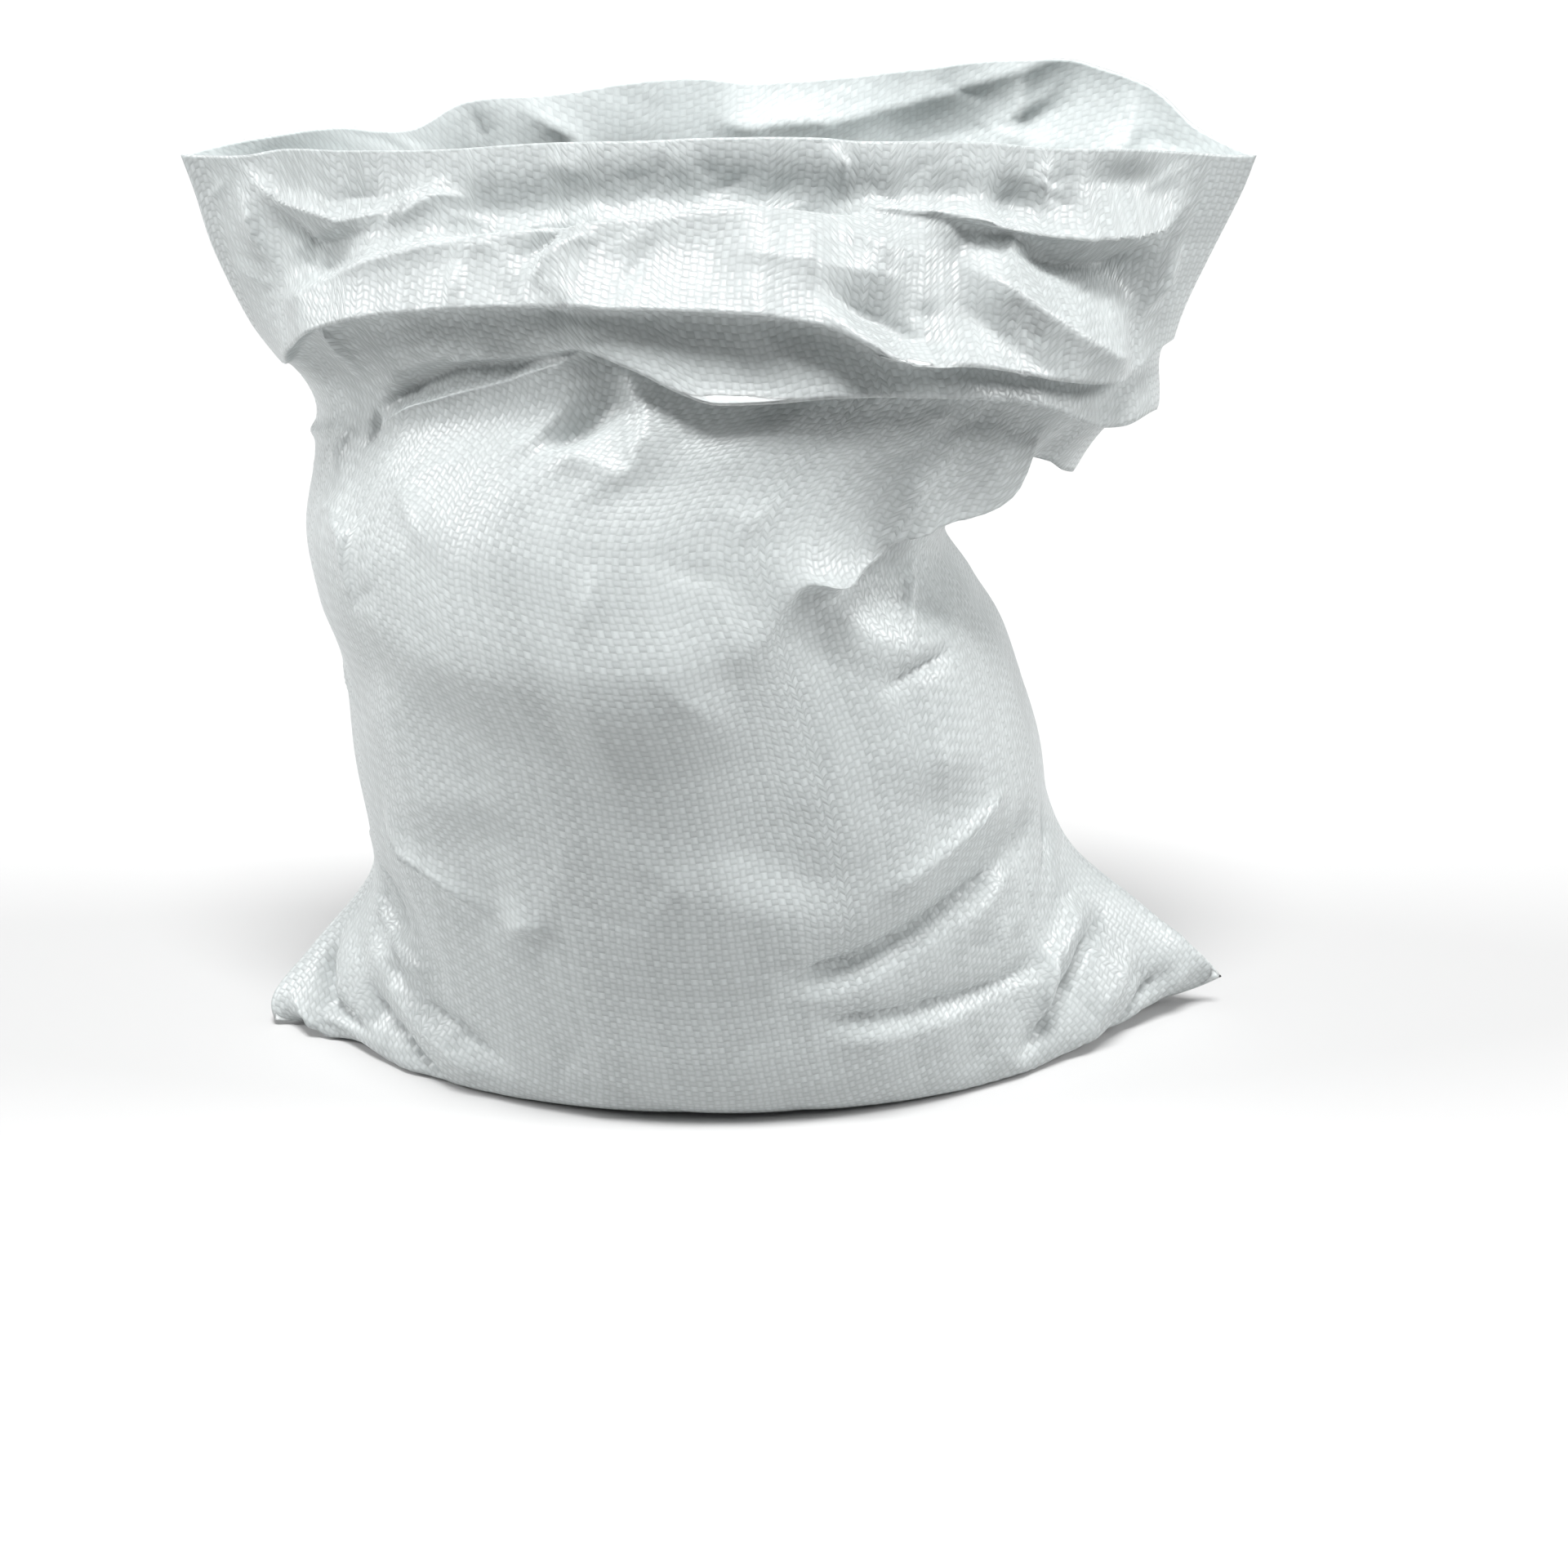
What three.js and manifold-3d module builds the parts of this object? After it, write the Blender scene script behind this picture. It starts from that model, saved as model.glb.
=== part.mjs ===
// An open woven sack of shelled peanuts, standing on its own filled base. Millimetres, +Z up.
// The cloth is one tube, sewn shut along the bottom. A place on it is given as on the flat cloth:
// "around" runs from the right corner over the back, the left corner and the front, and "up" runs
// from the bottom seam to the rim. The part stands with its front towards -Y.
import * as THREE from "three";
import { mergeVertices } from "three/addons/utils/BufferGeometryUtils.js";
import Module from "manifold-3d";

// Driving dimensions
const FLAT_WIDTH = 400; // the tube laid flat
const GIRTH = 2 * FLAT_WIDTH;
const WALL = 2; // cloth at the collar, with its turned hem
const FULL_WALL = 4; // cloth and its creases where the peanuts press on it, and bunched at the neck
const NECK_LENGTH = 100; // the wall thins over this length of cloth, above the peanuts
const BODY_CHANGE = 30; // below the top of the peanuts the inside loses its creases over this length
const GAP = 2.2; // between the cloth and the peanuts
const FILL_UP = 262; // how far up the cloth the peanuts reach
const HEAP_CROWN = 9; // how much the middle of the peanuts stands above their edge
const KERNEL = { length: 13.5, width: 9.5, depth: 8.5 }; // one shelled peanut
const KERNEL_ROWS = 6; // rings of shelled peanuts between the cloth and the middle
const KERNEL_SPACING = 18;
const KERNEL_LIFT = [0.1, 0.35]; // least and most of a kernel's depth from the heap up to its middle
const KERNEL_TILT = 0.5; // radians, most either way
const KERNEL_REACH = 0.91; // the outermost kernels stay clear of the cloth
const KERNEL_SEED = 7;

// Rows and columns of faces
const COLUMNS = 60; // around the sack
const FILLED_ROWS = 7; // inside, against the peanuts
const COLLAR_ROWS = 5; // inside, from the peanuts to the mouth
const BODY_ROWS = 13; // outside, below the neck
const NECK_ROWS = 4; // outside, between the neck and the second fold
const MOUTH_ROWS = 5; // both sides of the mouth
const NECK_STEPS = [-15, -6, -2, 0, 3, 8]; // close rows along each fold's line, from its line up
const SECOND_STEPS = [-7, -3, -1, 0, 3, 7];
const FIRST_STEPS = [-5, -2, 0, 3];
const MOUTH_FROM = 9; // the mouth's rows start this far above the first fold's line

// Level rings from the bottom seam to the rim. Each has its left and right corner (x, z), the
// middle of its front and back panel (y, z), how pointed the corners are (0.5 is an ellipse) and
// how late the edge leaves the middle's height on its way to the corners.
const RINGS = [
  { left: [-180, 2], right: [192, 14], front: [0, 0], back: [0, 0], point: 1.0, late: 8 },
  { left: [-180, 12], right: [182, 26], front: [-48, 0], back: [48, 0], point: 0.74, late: 8 },
  { left: [-164, 31], right: [158, 48], front: [-86, 0], back: [84, 0], point: 0.6, late: 8 },
  { left: [-141, 60], right: [133, 70], front: [-108, 22], back: [104, 20], point: 0.58, late: 4 },
  { left: [-139, 85], right: [122, 92], front: [-117, 60], back: [113, 56], point: 0.52, late: 3 },
  { left: [-143, 117], right: [117, 120], front: [-117, 108], back: [116, 102], point: 0.5, late: 2 },
  { left: [-145, 155], right: [104, 160], front: [-118, 155], back: [114, 146], point: 0.5, late: 2 },
  { left: [-152, 182], right: [92, 180], front: [-121, 190], back: [108, 182], point: 0.5, late: 2 },
  { left: [-156, 205], right: [80, 203], front: [-113, 225], back: [98, 215], point: 0.52, late: 2 },
  { left: [-152, 228], right: [100, 224], front: [-99, 252], back: [84, 240], point: 0.55, late: 2 },
  { left: [-149, 245], right: [130, 240], front: [-88, 268], back: [75, 257], point: 0.6, late: 2 },
  { left: [-156, 260], right: [150, 254], front: [-84, 283], back: [73, 273], point: 0.65, late: 2 },
  { left: [-172, 278], right: [158, 274], front: [-83, 300], back: [76, 291], point: 0.72, late: 2 },
  { left: [-184, 303], right: [172, 301], front: [-71, 322], back: [70, 316], point: 0.8, late: 2 },
  { left: [-190, 325], right: [183, 324], front: [-57, 341], back: [58, 341], point: 0.85, late: 2 },
  { left: [-194, 338], right: [188, 338], front: [-50, 352], back: [50, 358], point: 0.9, late: 2 },
];

// Folds that hang over the cloth below them, from the neck up. Each is a line around the sack
// with, at chosen places, how far it stands out and how far it hangs down.
const FOLDS = [
  {
    name: "neck",
    line: [
      [0, 334], [40, 320], [120, 286], [200, 268], [300, 252], [400, 240], [480, 256],
      [540, 245], [640, 256], [686, 274], [712, 292], [738, 308], [770, 330],
    ],
    out: [
      [0, 8], [60, 9], [120, 6], [300, 5], [400, 2], [540, 5], [640, 7], [700, 13], [745, 13],
      [775, 8],
    ],
    hang: [[0, 9], [60, 6], [120, 3], [300, 1], [400, 0], [600, 1], [680, 8], [740, 9], [770, 10]],
    above: 24,
    below: [[0, 5], [150, 12], [400, 16], [600, 14], [690, 6], [760, 5]],
  },
  {
    name: "second",
    line: [
      [0, 353], [200, 332], [400, 326], [450, 334], [500, 346], [556, 366], [590, 357],
      [640, 358], [700, 359], [750, 355],
    ],
    out: [[0, 8], [200, 8], [400, 4], [450, 3], [530, 3], [570, 9], [600, 12], [700, 13], [770, 10]],
    hang: [[0, 4], [200, 6], [400, 2], [530, 1], [570, 7], [600, 11], [700, 10], [780, 5]],
    above: 9,
    below: [[0, 5], [400, 6], [600, 4.5]],
  },
  {
    name: "first",
    line: [
      [0, 374], [200, 366], [370, 362], [404, 362], [424, 367], [439, 374], [466, 382],
      [512, 383], [600, 379], [640, 377], [660, 373], [740, 369],
    ],
    out: [[0, 5], [200, 9], [360, 7], [400, 3], [440, 9], [600, 12], [700, 12], [760, 8]],
    hang: [[0, 4], [200, 7], [360, 6], [400, 3], [440, 8], [600, 10], [700, 10], [760, 6]],
    above: 16,
    below: [[0, 5], [200, 5], [400, 5], [600, 4.5]],
  },
];

// Soft ridges (height above 0) and hollows (below 0): a path on the flat cloth, the height, and
// how wide the form is to the left and to the right of the path's direction.
const CREASES = [
  {
    path: [[436, 386], [482, 398], [542, 404], [600, 409], [650, 408]],
    height: 5,
    left: 5,
    right: 14,
  },
  { path: [[434, 422], [456, 408], [490, 410]], height: -5, left: 8, right: 8 },
  { path: [[500, 410], [573, 415], [640, 418], [700, 419]], height: -6, left: 8, right: 6 },
  { path: [[672, 409], [726, 407], [776, 418]], height: 7, left: 8, right: 5 },
  { path: [[700, 399], [736, 396], [768, 404]], height: -5, left: 6, right: 6 },
  { path: [[684, 396], [728, 380], [766, 372]], height: 8, left: 13, right: 8 },
  { path: [[566, 352], [584, 338], [604, 318], [606, 296]], height: 6, left: 14, right: 7 },
  { path: [[692, 252], [662, 231], [638, 205], [624, 159]], height: -7, left: 30, right: 26 },
  { path: [[450, 153], [500, 157], [564, 148]], height: -4, left: 7, right: 7 },
  { path: [[768, 115], [700, 138], [632, 131]], height: -4, left: 9, right: 9 },
  { path: [[740, 70], [700, 104], [650, 116]], height: -3, left: 8, right: 8 },
  { path: [[792, 70], [756, 62], [712, 46]], height: -4, left: 7, right: 7 },
  { path: [[408, 66], [440, 60], [490, 54]], height: -4, left: 7, right: 7 },
  { path: [[30, 120], [90, 138], [160, 130]], height: -5, left: 10, right: 10 },
  { path: [[360, 112], [300, 134], [240, 128]], height: -5, left: 10, right: 10 },
  { path: [[120, 250], [140, 215], [150, 170]], height: -5, left: 22, right: 22 },
  { path: [[60, 402], [140, 410], [230, 404], [330, 410]], height: -5, left: 9, right: 9 },
  { path: [[80, 384], [170, 392], [280, 384], [360, 392]], height: 5, left: 8, right: 8 },
];

const CREASE_END = 25; // a crease fades out over this length
const SEAM_CALM = 30; // above the bottom seam the cloth lies flat over this length

// The two bottom corners are pulled out of line with the base, in x, y and z, less and less with
// the distance from the corner around the sack and up.
const EARS = [
  { corner: 400, pull: [0, -10, 0], wide: 46, high: 46 },
  { corner: 0, pull: [2, 7, 0], wide: 46, high: 46 },
];

// The mouth: its back panel rises to a peak on the right, and on the left it leans forward until
// the mouth is nearly shut. All three are given around the sack and fade down from the rim.
const RIM_LIFT = [
  [0, 0], [40, 6], [92, 13], [140, 8], [200, 3], [255, 2],
  [292, 4], [312, -8], [350, 0], [400, 0], [600, -2],
];
const RIM_BULGE = [[0, 0], [60, 4], [100, 8], [160, 0], [400, 0], [600, 0]];
const RIM_SHUT = [
  [0, 0], [120, 0], [170, 0.25], [220, 0.7], [280, 0.85], [330, 0.7], [380, 0.2], [400, 0], [600, 0],
];
const LIFT_FADE = 30;
const SHUT_FADE = 55;
const SHUT_ROOM = 16; // always left between the two panels, from outside to outside

// Helpers
const mix = THREE.MathUtils.lerp;
const smooth = THREE.MathUtils.smoothstep;

function spline(values, position) {
  const last = values.length - 1;
  const index = Math.min(Math.floor(position), last - 1);
  const t = position - index;
  const [b, c] = [values[index], values[index + 1]];
  const a = index > 0 ? values[index - 1] : 2 * b - c;
  const d = index < last - 1 ? values[index + 2] : 2 * c - b;
  const cubic = 3 * b - a - 3 * c + d;
  return 0.5 * (2 * b + (c - a) * t + (2 * a - 5 * b + 4 * c - d) * t * t + cubic * t ** 3);
}

// A value that is set at some places around the sack, rounded off between them.
function aroundGirth(places, around) {
  const count = places.length;
  const at = ((around % GIRTH) + GIRTH) % GIRTH;
  let index = count - 1;
  while (index > 0 && places[index][0] > at) index -= 1;
  const place = (k) => {
    const lap = Math.floor(k / count);
    const [where, value] = places[k - lap * count];
    return [where + lap * GIRTH, value];
  };
  const [a, b, c, d] = [-1, 0, 1, 2].map((k) => place(index + k));
  const t = (at - b[0]) / (c[0] - b[0]);
  const slopeB = ((c[1] - a[1]) / (c[0] - a[0])) * (c[0] - b[0]);
  const slopeC = ((d[1] - b[1]) / (d[0] - b[0])) * (c[0] - b[0]);
  const t2 = t * t;
  const t3 = t2 * t;
  return (2 * t3 - 3 * t2 + 1) * b[1] + (t3 - 2 * t2 + t) * slopeB
    + (3 * t2 - 2 * t3) * c[1] + (t3 - t2) * slopeC;
}

// The smooth sack, before its folds
const RING_FIELDS = [
  (ring) => ring.left[0], (ring) => ring.left[1], (ring) => ring.right[0], (ring) => ring.right[1],
  (ring) => ring.front[0], (ring) => ring.front[1], (ring) => ring.back[0], (ring) => ring.back[1],
  (ring) => ring.point, (ring) => ring.late,
].map((field) => RINGS.map(field));

function ringAt(position) {
  const [xl, zl, xr, zr, yf, zf, yb, zb, point, late] = RING_FIELDS.map((f) => spline(f, position));
  return { xl, zl, xr, zr, yf, zf, yb, zb, point, late };
}

// A ring drawn in from the cloth's outside, as the inside of a wall or the peanuts behind it.
function drawnIn(ring, depth) {
  const corner = depth * mix(7, 2.5, smooth(ring.zf, 20, 120));
  const low = depth * (1 - smooth(ring.zf, 20, 80));
  return {
    ...ring,
    xl: ring.xl + corner,
    xr: ring.xr - corner,
    yf: Math.min(ring.yf + depth, 0),
    yb: Math.max(ring.yb - depth, 0),
    zl: ring.zl + low,
    zr: ring.zr + low,
    zf: ring.zf + low,
    zb: ring.zb + low,
  };
}

function ringPoint(ring, angle) {
  const side = Math.cos(angle);
  const front = Math.sin(angle) <= 0;
  const middle = front ? ring.zf : ring.zb;
  const width = Math.pow(Math.max(1 - side * side, 0), ring.point);
  const rise = Math.abs(side) ** ring.late;
  return new THREE.Vector3(
    mix(ring.xl, ring.xr, (side + 1) / 2),
    (front ? ring.yf : ring.yb) * width,
    middle + ((side > 0 ? ring.zr : ring.zl) - middle) * rise,
  );
}

// Angles that divide one half of a ring, back or front, into equal lengths of cloth.
const ARC_STEPS = 180;
function evenAngles(ring, half, count) {
  const lengths = [0];
  let before = ringPoint(ring, half * Math.PI + 1e-9);
  for (let k = 1; k <= ARC_STEPS; k += 1) {
    const point = ringPoint(ring, (half + k / ARC_STEPS) * Math.PI - (k === ARC_STEPS ? 1e-9 : 0));
    lengths.push(lengths[k - 1] + point.distanceTo(before));
    before = point;
  }
  const angles = [];
  let k = 0;
  for (let i = 0; i < count; i += 1) {
    const length = (i / count) * lengths[ARC_STEPS];
    while (lengths[k + 1] < length) k += 1;
    const t = (length - lengths[k]) / (lengths[k + 1] - lengths[k]);
    angles.push((half + (k + t) / ARC_STEPS) * Math.PI);
  }
  return angles;
}

// How far up the cloth each ring lies, from the mean length of cloth between rings.
const RING_STEPS = 16;
const UP_COLUMNS = 40;
function measureUp() {
  const ups = [0];
  let before = null;
  for (let k = 0; k <= RING_STEPS * (RINGS.length - 1); k += 1) {
    const ring = ringAt(k / RING_STEPS);
    const angles = [0, 1].flatMap((half) => evenAngles(ring, half, UP_COLUMNS));
    const points = angles.map((angle) => ringPoint(ring, angle));
    if (before) {
      const total = points.reduce((sum, point, i) => sum + point.distanceTo(before[i]), 0);
      ups.push(ups[k - 1] + total / points.length);
    }
    before = points;
  }
  return ups;
}
const UPS = measureUp();
const RIM_UP = UPS[UPS.length - 1];

function ringPosition(wanted) {
  const up = THREE.MathUtils.clamp(wanted, 0, RIM_UP);
  let k = 0;
  while (k < UPS.length - 2 && UPS[k + 1] < up) k += 1;
  return (k + (up - UPS[k]) / (UPS[k + 1] - UPS[k])) / RING_STEPS;
}

// Angles of evenly spaced places on the whole ring at a height, kept because many points share it.
const angleCache = new Map();
function anglesAt(ring, up) {
  const key = up.toFixed(6);
  if (!angleCache.has(key)) {
    const halves = [0, 1].map((half) => evenAngles(ring, half, ARC_STEPS));
    angleCache.set(key, [...halves.flat(), 2 * Math.PI]);
  }
  return angleCache.get(key);
}

function smoothPoint(around, up, depth) {
  const ring = ringAt(ringPosition(up));
  const angles = anglesAt(ring, up);
  const place = ((((around % GIRTH) + GIRTH) % GIRTH) / FLAT_WIDTH) * ARC_STEPS;
  const below = Math.min(Math.floor(place), angles.length - 2);
  const point = ringPoint(drawnIn(ring, depth), mix(angles[below], angles[below + 1], place - below));
  for (const { corner, pull, wide, high } of EARS) {
    const off = THREE.MathUtils.euclideanModulo(around - corner + FLAT_WIDTH, GIRTH) - FLAT_WIDTH;
    const share = Math.exp(-((off / wide) ** 2) - (Math.max(up, 0) / high) ** 2);
    point.addScaledVector(new THREE.Vector3(...pull), share);
  }
  return point;
}

// Folds and creases
function creaseShare(crease, around, up) {
  const { path } = crease;
  let nearest = { distance: Infinity };
  let walked = 0;
  for (let k = 0; k < path.length - 1; k += 1) {
    const [ax, ay] = path[k];
    const [ex, ey] = [path[k + 1][0] - ax, path[k + 1][1] - ay];
    const length = Math.hypot(ex, ey);
    const along = THREE.MathUtils.clamp(((around - ax) * ex + (up - ay) * ey) / length, 0, length);
    const [dx, dy] = [around - ax - (along * ex) / length, up - ay - (along * ey) / length];
    const distance = Math.hypot(dx, dy);
    const left = ex * dy - ey * dx > 0;
    if (distance < nearest.distance) nearest = { distance, left, along: walked + along };
    walked += length;
  }
  const spread = nearest.distance / (nearest.left ? crease.left : crease.right);
  const end = Math.min(nearest.along, walked - nearest.along) / CREASE_END;
  return Math.exp(-spread * spread) * smooth(end, 0, 1);
}

function creaseHeight(around, up) {
  const calm = smooth(up, 0, SEAM_CALM);
  return calm * CREASES.reduce((sum, c) => sum + c.height * creaseShare(c, around, up), 0);
}

// How far the back panel can lean before it meets the front panel.
function mouthRoom(around, up) {
  if (around > FLAT_WIDTH) return 0;
  const depth = smoothPoint(around, up, 0).y - smoothPoint(GIRTH - around, up, 0).y;
  return Math.max(depth - SHUT_ROOM, 0);
}

// The cloth with its creases and its mouth, but without the folds that hang over.
function clothPoint(around, up, depth = 0) {
  const point = smoothPoint(around, up, depth);
  const outward = outwardAt(smoothPoint, around, up);
  point.addScaledVector(outward, creaseHeight(around, up));
  const down = RIM_UP - up;
  const shut = aroundGirth(RIM_SHUT, around) * mouthRoom(around, up);
  point.y += (aroundGirth(RIM_BULGE, around) - shut) * Math.exp(-((down / SHUT_FADE) ** 2));
  point.z += aroundGirth(RIM_LIFT, around) * Math.exp(-((down / LIFT_FADE) ** 2));
  return point;
}

function directionsAt(surface, around, up) {
  const above = Math.min(up + 1, RIM_UP);
  const across = surface(around + 1, up, 0).sub(surface(around - 1, up, 0)).normalize();
  const rising = surface(around, above, 0).sub(surface(around, above - 2, 0)).normalize();
  return { across, rising };
}

function outwardAt(surface, around, up) {
  const { across, rising } = directionsAt(surface, around, up);
  return across.cross(rising).normalize();
}

function outsidePoint(around, up) {
  const point = clothPoint(around, up);
  const { across, rising } = directionsAt(smoothPoint, around, up);
  const outward = across.cross(rising).normalize();
  for (const fold of FOLDS) {
    const distance = up - aroundGirth(fold.line, around);
    const reach = distance > 0 ? fold.above : aroundGirth(fold.below, around);
    const share = Math.exp(-Math.abs(distance) / reach);
    point.addScaledVector(outward, share * aroundGirth(fold.out, around));
    point.addScaledVector(rising, -share * Math.max(aroundGirth(fold.hang, around), 0));
  }
  point.z = Math.max(point.z, 0);
  return point;
}

// The inside of the wall, or with room added, what lies behind it.
function insidePoint(around, up, room = 0) {
  const wall = room + mix(FULL_WALL, WALL, smooth(up, FILL_UP, FILL_UP + NECK_LENGTH));
  const open = smooth(up, FILL_UP - BODY_CHANGE, FILL_UP);
  const point = clothPoint(around, up, (1 - open) * wall);
  point.addScaledVector(outwardAt(clothPoint, around, up), -open * wall);
  point.z = Math.max(point.z, FULL_WALL + room);
  return point;
}

// Lofts through rows of points, each row once around
function loft(rows, closedBy = null) {
  const columns = rows[0].length;
  const points = rows.flat();
  const faces = [];
  for (let j = 0; j < rows.length - 1; j += 1) {
    for (let i = 0; i < columns; i += 1) {
      const a = j * columns + i;
      const b = j * columns + ((i + 1) % columns);
      faces.push(a, b, b + columns, a, b + columns, a + columns);
    }
  }
  if (closedBy) {
    const base = (rows.length - 1) * columns;
    for (let i = 0; i < columns; i += 1) faces.push(base + i, base + ((i + 1) % columns), points.length);
    points.push(closedBy);
  }
  const geometry = new THREE.BufferGeometry().setFromPoints(points);
  geometry.setIndex(faces);
  return withoutSlivers(mergeVertices(geometry, 1e-3));
}

// The bottom seam brings front and back together, so faces that end there may have no area.
function withoutSlivers(geometry) {
  const index = geometry.getIndex().array;
  const kept = [];
  for (let k = 0; k < index.length; k += 3) {
    const [a, b, c] = index.slice(k, k + 3);
    if (a !== b && b !== c && c !== a) kept.push(a, b, c);
  }
  geometry.setIndex(kept);
  return geometry;
}

const AROUNDS = Array.from({ length: COLUMNS }, (_, i) => (i / COLUMNS) * GIRTH);

// Evenly spaced numbers between two others, without these two.
const between = (from, to, count) => (
  Array.from({ length: count }, (_, k) => mix(from, to, (k + 1) / (count + 1)))
);

// Rows of the outside follow the folds' lines, close together where the cloth turns under. The
// inside has the same rows at the mouth and fewer below it.
function foldLines(around) {
  return FOLDS.map((fold) => aroundGirth(fold.line, around));
}

function mouthUps(around) {
  const start = foldLines(around)[2] + MOUTH_FROM;
  return [start, ...between(start, RIM_UP, MOUTH_ROWS), RIM_UP];
}

function outerUps(around) {
  const [neck, second, first] = foldLines(around);
  const neckRows = NECK_STEPS.map((step) => neck + step);
  const secondRows = SECOND_STEPS.map((step) => second + step);
  return [
    0, ...between(0, neckRows[0], BODY_ROWS),
    ...neckRows, ...between(neckRows.at(-1), secondRows[0], NECK_ROWS),
    ...secondRows, ...FIRST_STEPS.map((step) => first + step),
    ...mouthUps(around),
  ];
}

const filledUps = () => [0, ...between(0, FILL_UP, FILLED_ROWS), FILL_UP];

function innerUps(around) {
  const mouth = mouthUps(around);
  return [...filledUps(), ...between(FILL_UP, mouth[0], COLLAR_ROWS), ...mouth];
}

// Turns columns of points, one for each place around the sack, into rows.
const toRows = (columns) => columns[0].map((_, j) => columns.map((column) => column[j]));

function sackGeometry() {
  const outside = AROUNDS.map((around) => outerUps(around).map((up) => outsidePoint(around, up)));
  const inside = AROUNDS.map((around) => innerUps(around).map((up) => insidePoint(around, up)));
  return loft([...toRows(outside), ...toRows(inside).reverse()]);
}

// The peanuts: a filled core with a domed top, and the kernels that show fused on
function randomFrom(seed) {
  let state = seed;
  return () => {
    state = (state + 0x6d2b79f5) | 0;
    let t = Math.imul(state ^ (state >>> 15), 1 | state);
    t = (t + Math.imul(t ^ (t >>> 7), 61 | t)) ^ t;
    return ((t ^ (t >>> 14)) >>> 0) / 2 ** 32;
  };
}

const peanutEdge = (around, up) => insidePoint(around, up, GAP);

function heapCentre() {
  const edge = AROUNDS.map((around) => peanutEdge(around, FILL_UP));
  const sum = edge.reduce((total, point) => total.add(point), new THREE.Vector3());
  return sum.divideScalar(edge.length);
}
const HEAP_CENTRE = heapCentre();

// A point of the heap's top, from its middle (share 0) to the cloth (share 1).
function heapTop(around, share) {
  const point = HEAP_CENTRE.clone().lerp(peanutEdge(around, FILL_UP), share);
  point.z += HEAP_CROWN * (1 - share * share);
  return point;
}

function coreGeometry() {
  const sides = filledUps().map((up) => AROUNDS.map((around) => peanutEdge(around, up)));
  const top = [0.66, 0.33].map((share) => AROUNDS.map((around) => heapTop(around, share)));
  return loft([...sides, ...top], heapTop(0, 0));
}

function kernelGeometry(around, share, random) {
  const size = mix(0.88, 1.12, random());
  const tilt = () => KERNEL_TILT * (2 * random() - 1);
  const turn = new THREE.Euler(tilt(), tilt(), random() * Math.PI, "ZYX");
  const place = heapTop(around, share);
  place.z += mix(...KERNEL_LIFT, random()) * KERNEL.depth;
  const matrix = new THREE.Matrix4().compose(
    place,
    new THREE.Quaternion().setFromEuler(turn),
    new THREE.Vector3(KERNEL.length, KERNEL.width, KERNEL.depth).multiplyScalar(size),
  );
  return new THREE.IcosahedronGeometry(0.5, 0).applyMatrix4(matrix);
}

function heapKernels() {
  const random = randomFrom(KERNEL_SEED);
  const edge = AROUNDS.map((around) => peanutEdge(around, FILL_UP).distanceTo(HEAP_CENTRE));
  const radius = edge.reduce((sum, length) => sum + length, 0) / COLUMNS;
  const kernels = [];
  for (let row = 0; row < KERNEL_ROWS; row += 1) {
    const share = (KERNEL_REACH * (row + 0.5)) / KERNEL_ROWS;
    const count = Math.round((2 * Math.PI * share * radius) / KERNEL_SPACING);
    for (let k = 0; k < count; k += 1) {
      const around = ((k + 0.5 * (row % 2) + 0.3 * (random() - 0.5)) / count) * GIRTH;
      kernels.push(kernelGeometry(around, share, random));
    }
  }
  return kernels;
}

const wasm = await Module();
wasm.setup();

function toSolid(source) {
  const bare = new THREE.BufferGeometry();
  bare.setAttribute("position", source.getAttribute("position"));
  if (source.getIndex()) bare.setIndex(source.getIndex());
  const geometry = mergeVertices(bare, 1e-3);
  const vertProperties = new Float32Array(geometry.getAttribute("position").array);
  const triVerts = new Uint32Array(geometry.getIndex().array);
  return new wasm.Manifold(new wasm.Mesh({ numProp: 3, vertProperties, triVerts }));
}

function toGeometry(solid) {
  const { vertProperties, triVerts } = solid.getMesh();
  const geometry = new THREE.BufferGeometry();
  geometry.setAttribute("position", new THREE.BufferAttribute(vertProperties, 3));
  geometry.setIndex(new THREE.BufferAttribute(triVerts, 1));
  return geometry;
}

function peanutsGeometry() {
  const kernels = heapKernels().map(toSolid);
  return toGeometry(kernels.reduce((heap, kernel) => heap.add(kernel), toSolid(coreGeometry())));
}

// The part
const CLOTH = new THREE.MeshStandardMaterial({ color: 0xd6dedd, roughness: 0.5, metalness: 0 });
const SKINS = new THREE.MeshStandardMaterial({ color: 0x7c4529, roughness: 0.6, metalness: 0 });

function part(name, geometry, material) {
  const mesh = new THREE.Mesh(geometry, material);
  mesh.name = name;
  return mesh;
}

const group = new THREE.Group();
group.add(part("sack", sackGeometry(), CLOTH));
group.add(part("peanuts", peanutsGeometry(), SKINS));
const bounds = new THREE.Box3().setFromObject(group);
const middle = bounds.getCenter(new THREE.Vector3());
group.position.set(-middle.x, -middle.y, -bounds.min.z);

export default group;
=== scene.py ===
"""An open woven sack of shelled peanuts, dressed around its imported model.

The cloth is worked out in millimetres as on the flat tube: "around" runs from the right corner
over the back, the left corner and the front, and "up" runs from the bottom seam to the rim.
"""
import math

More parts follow.
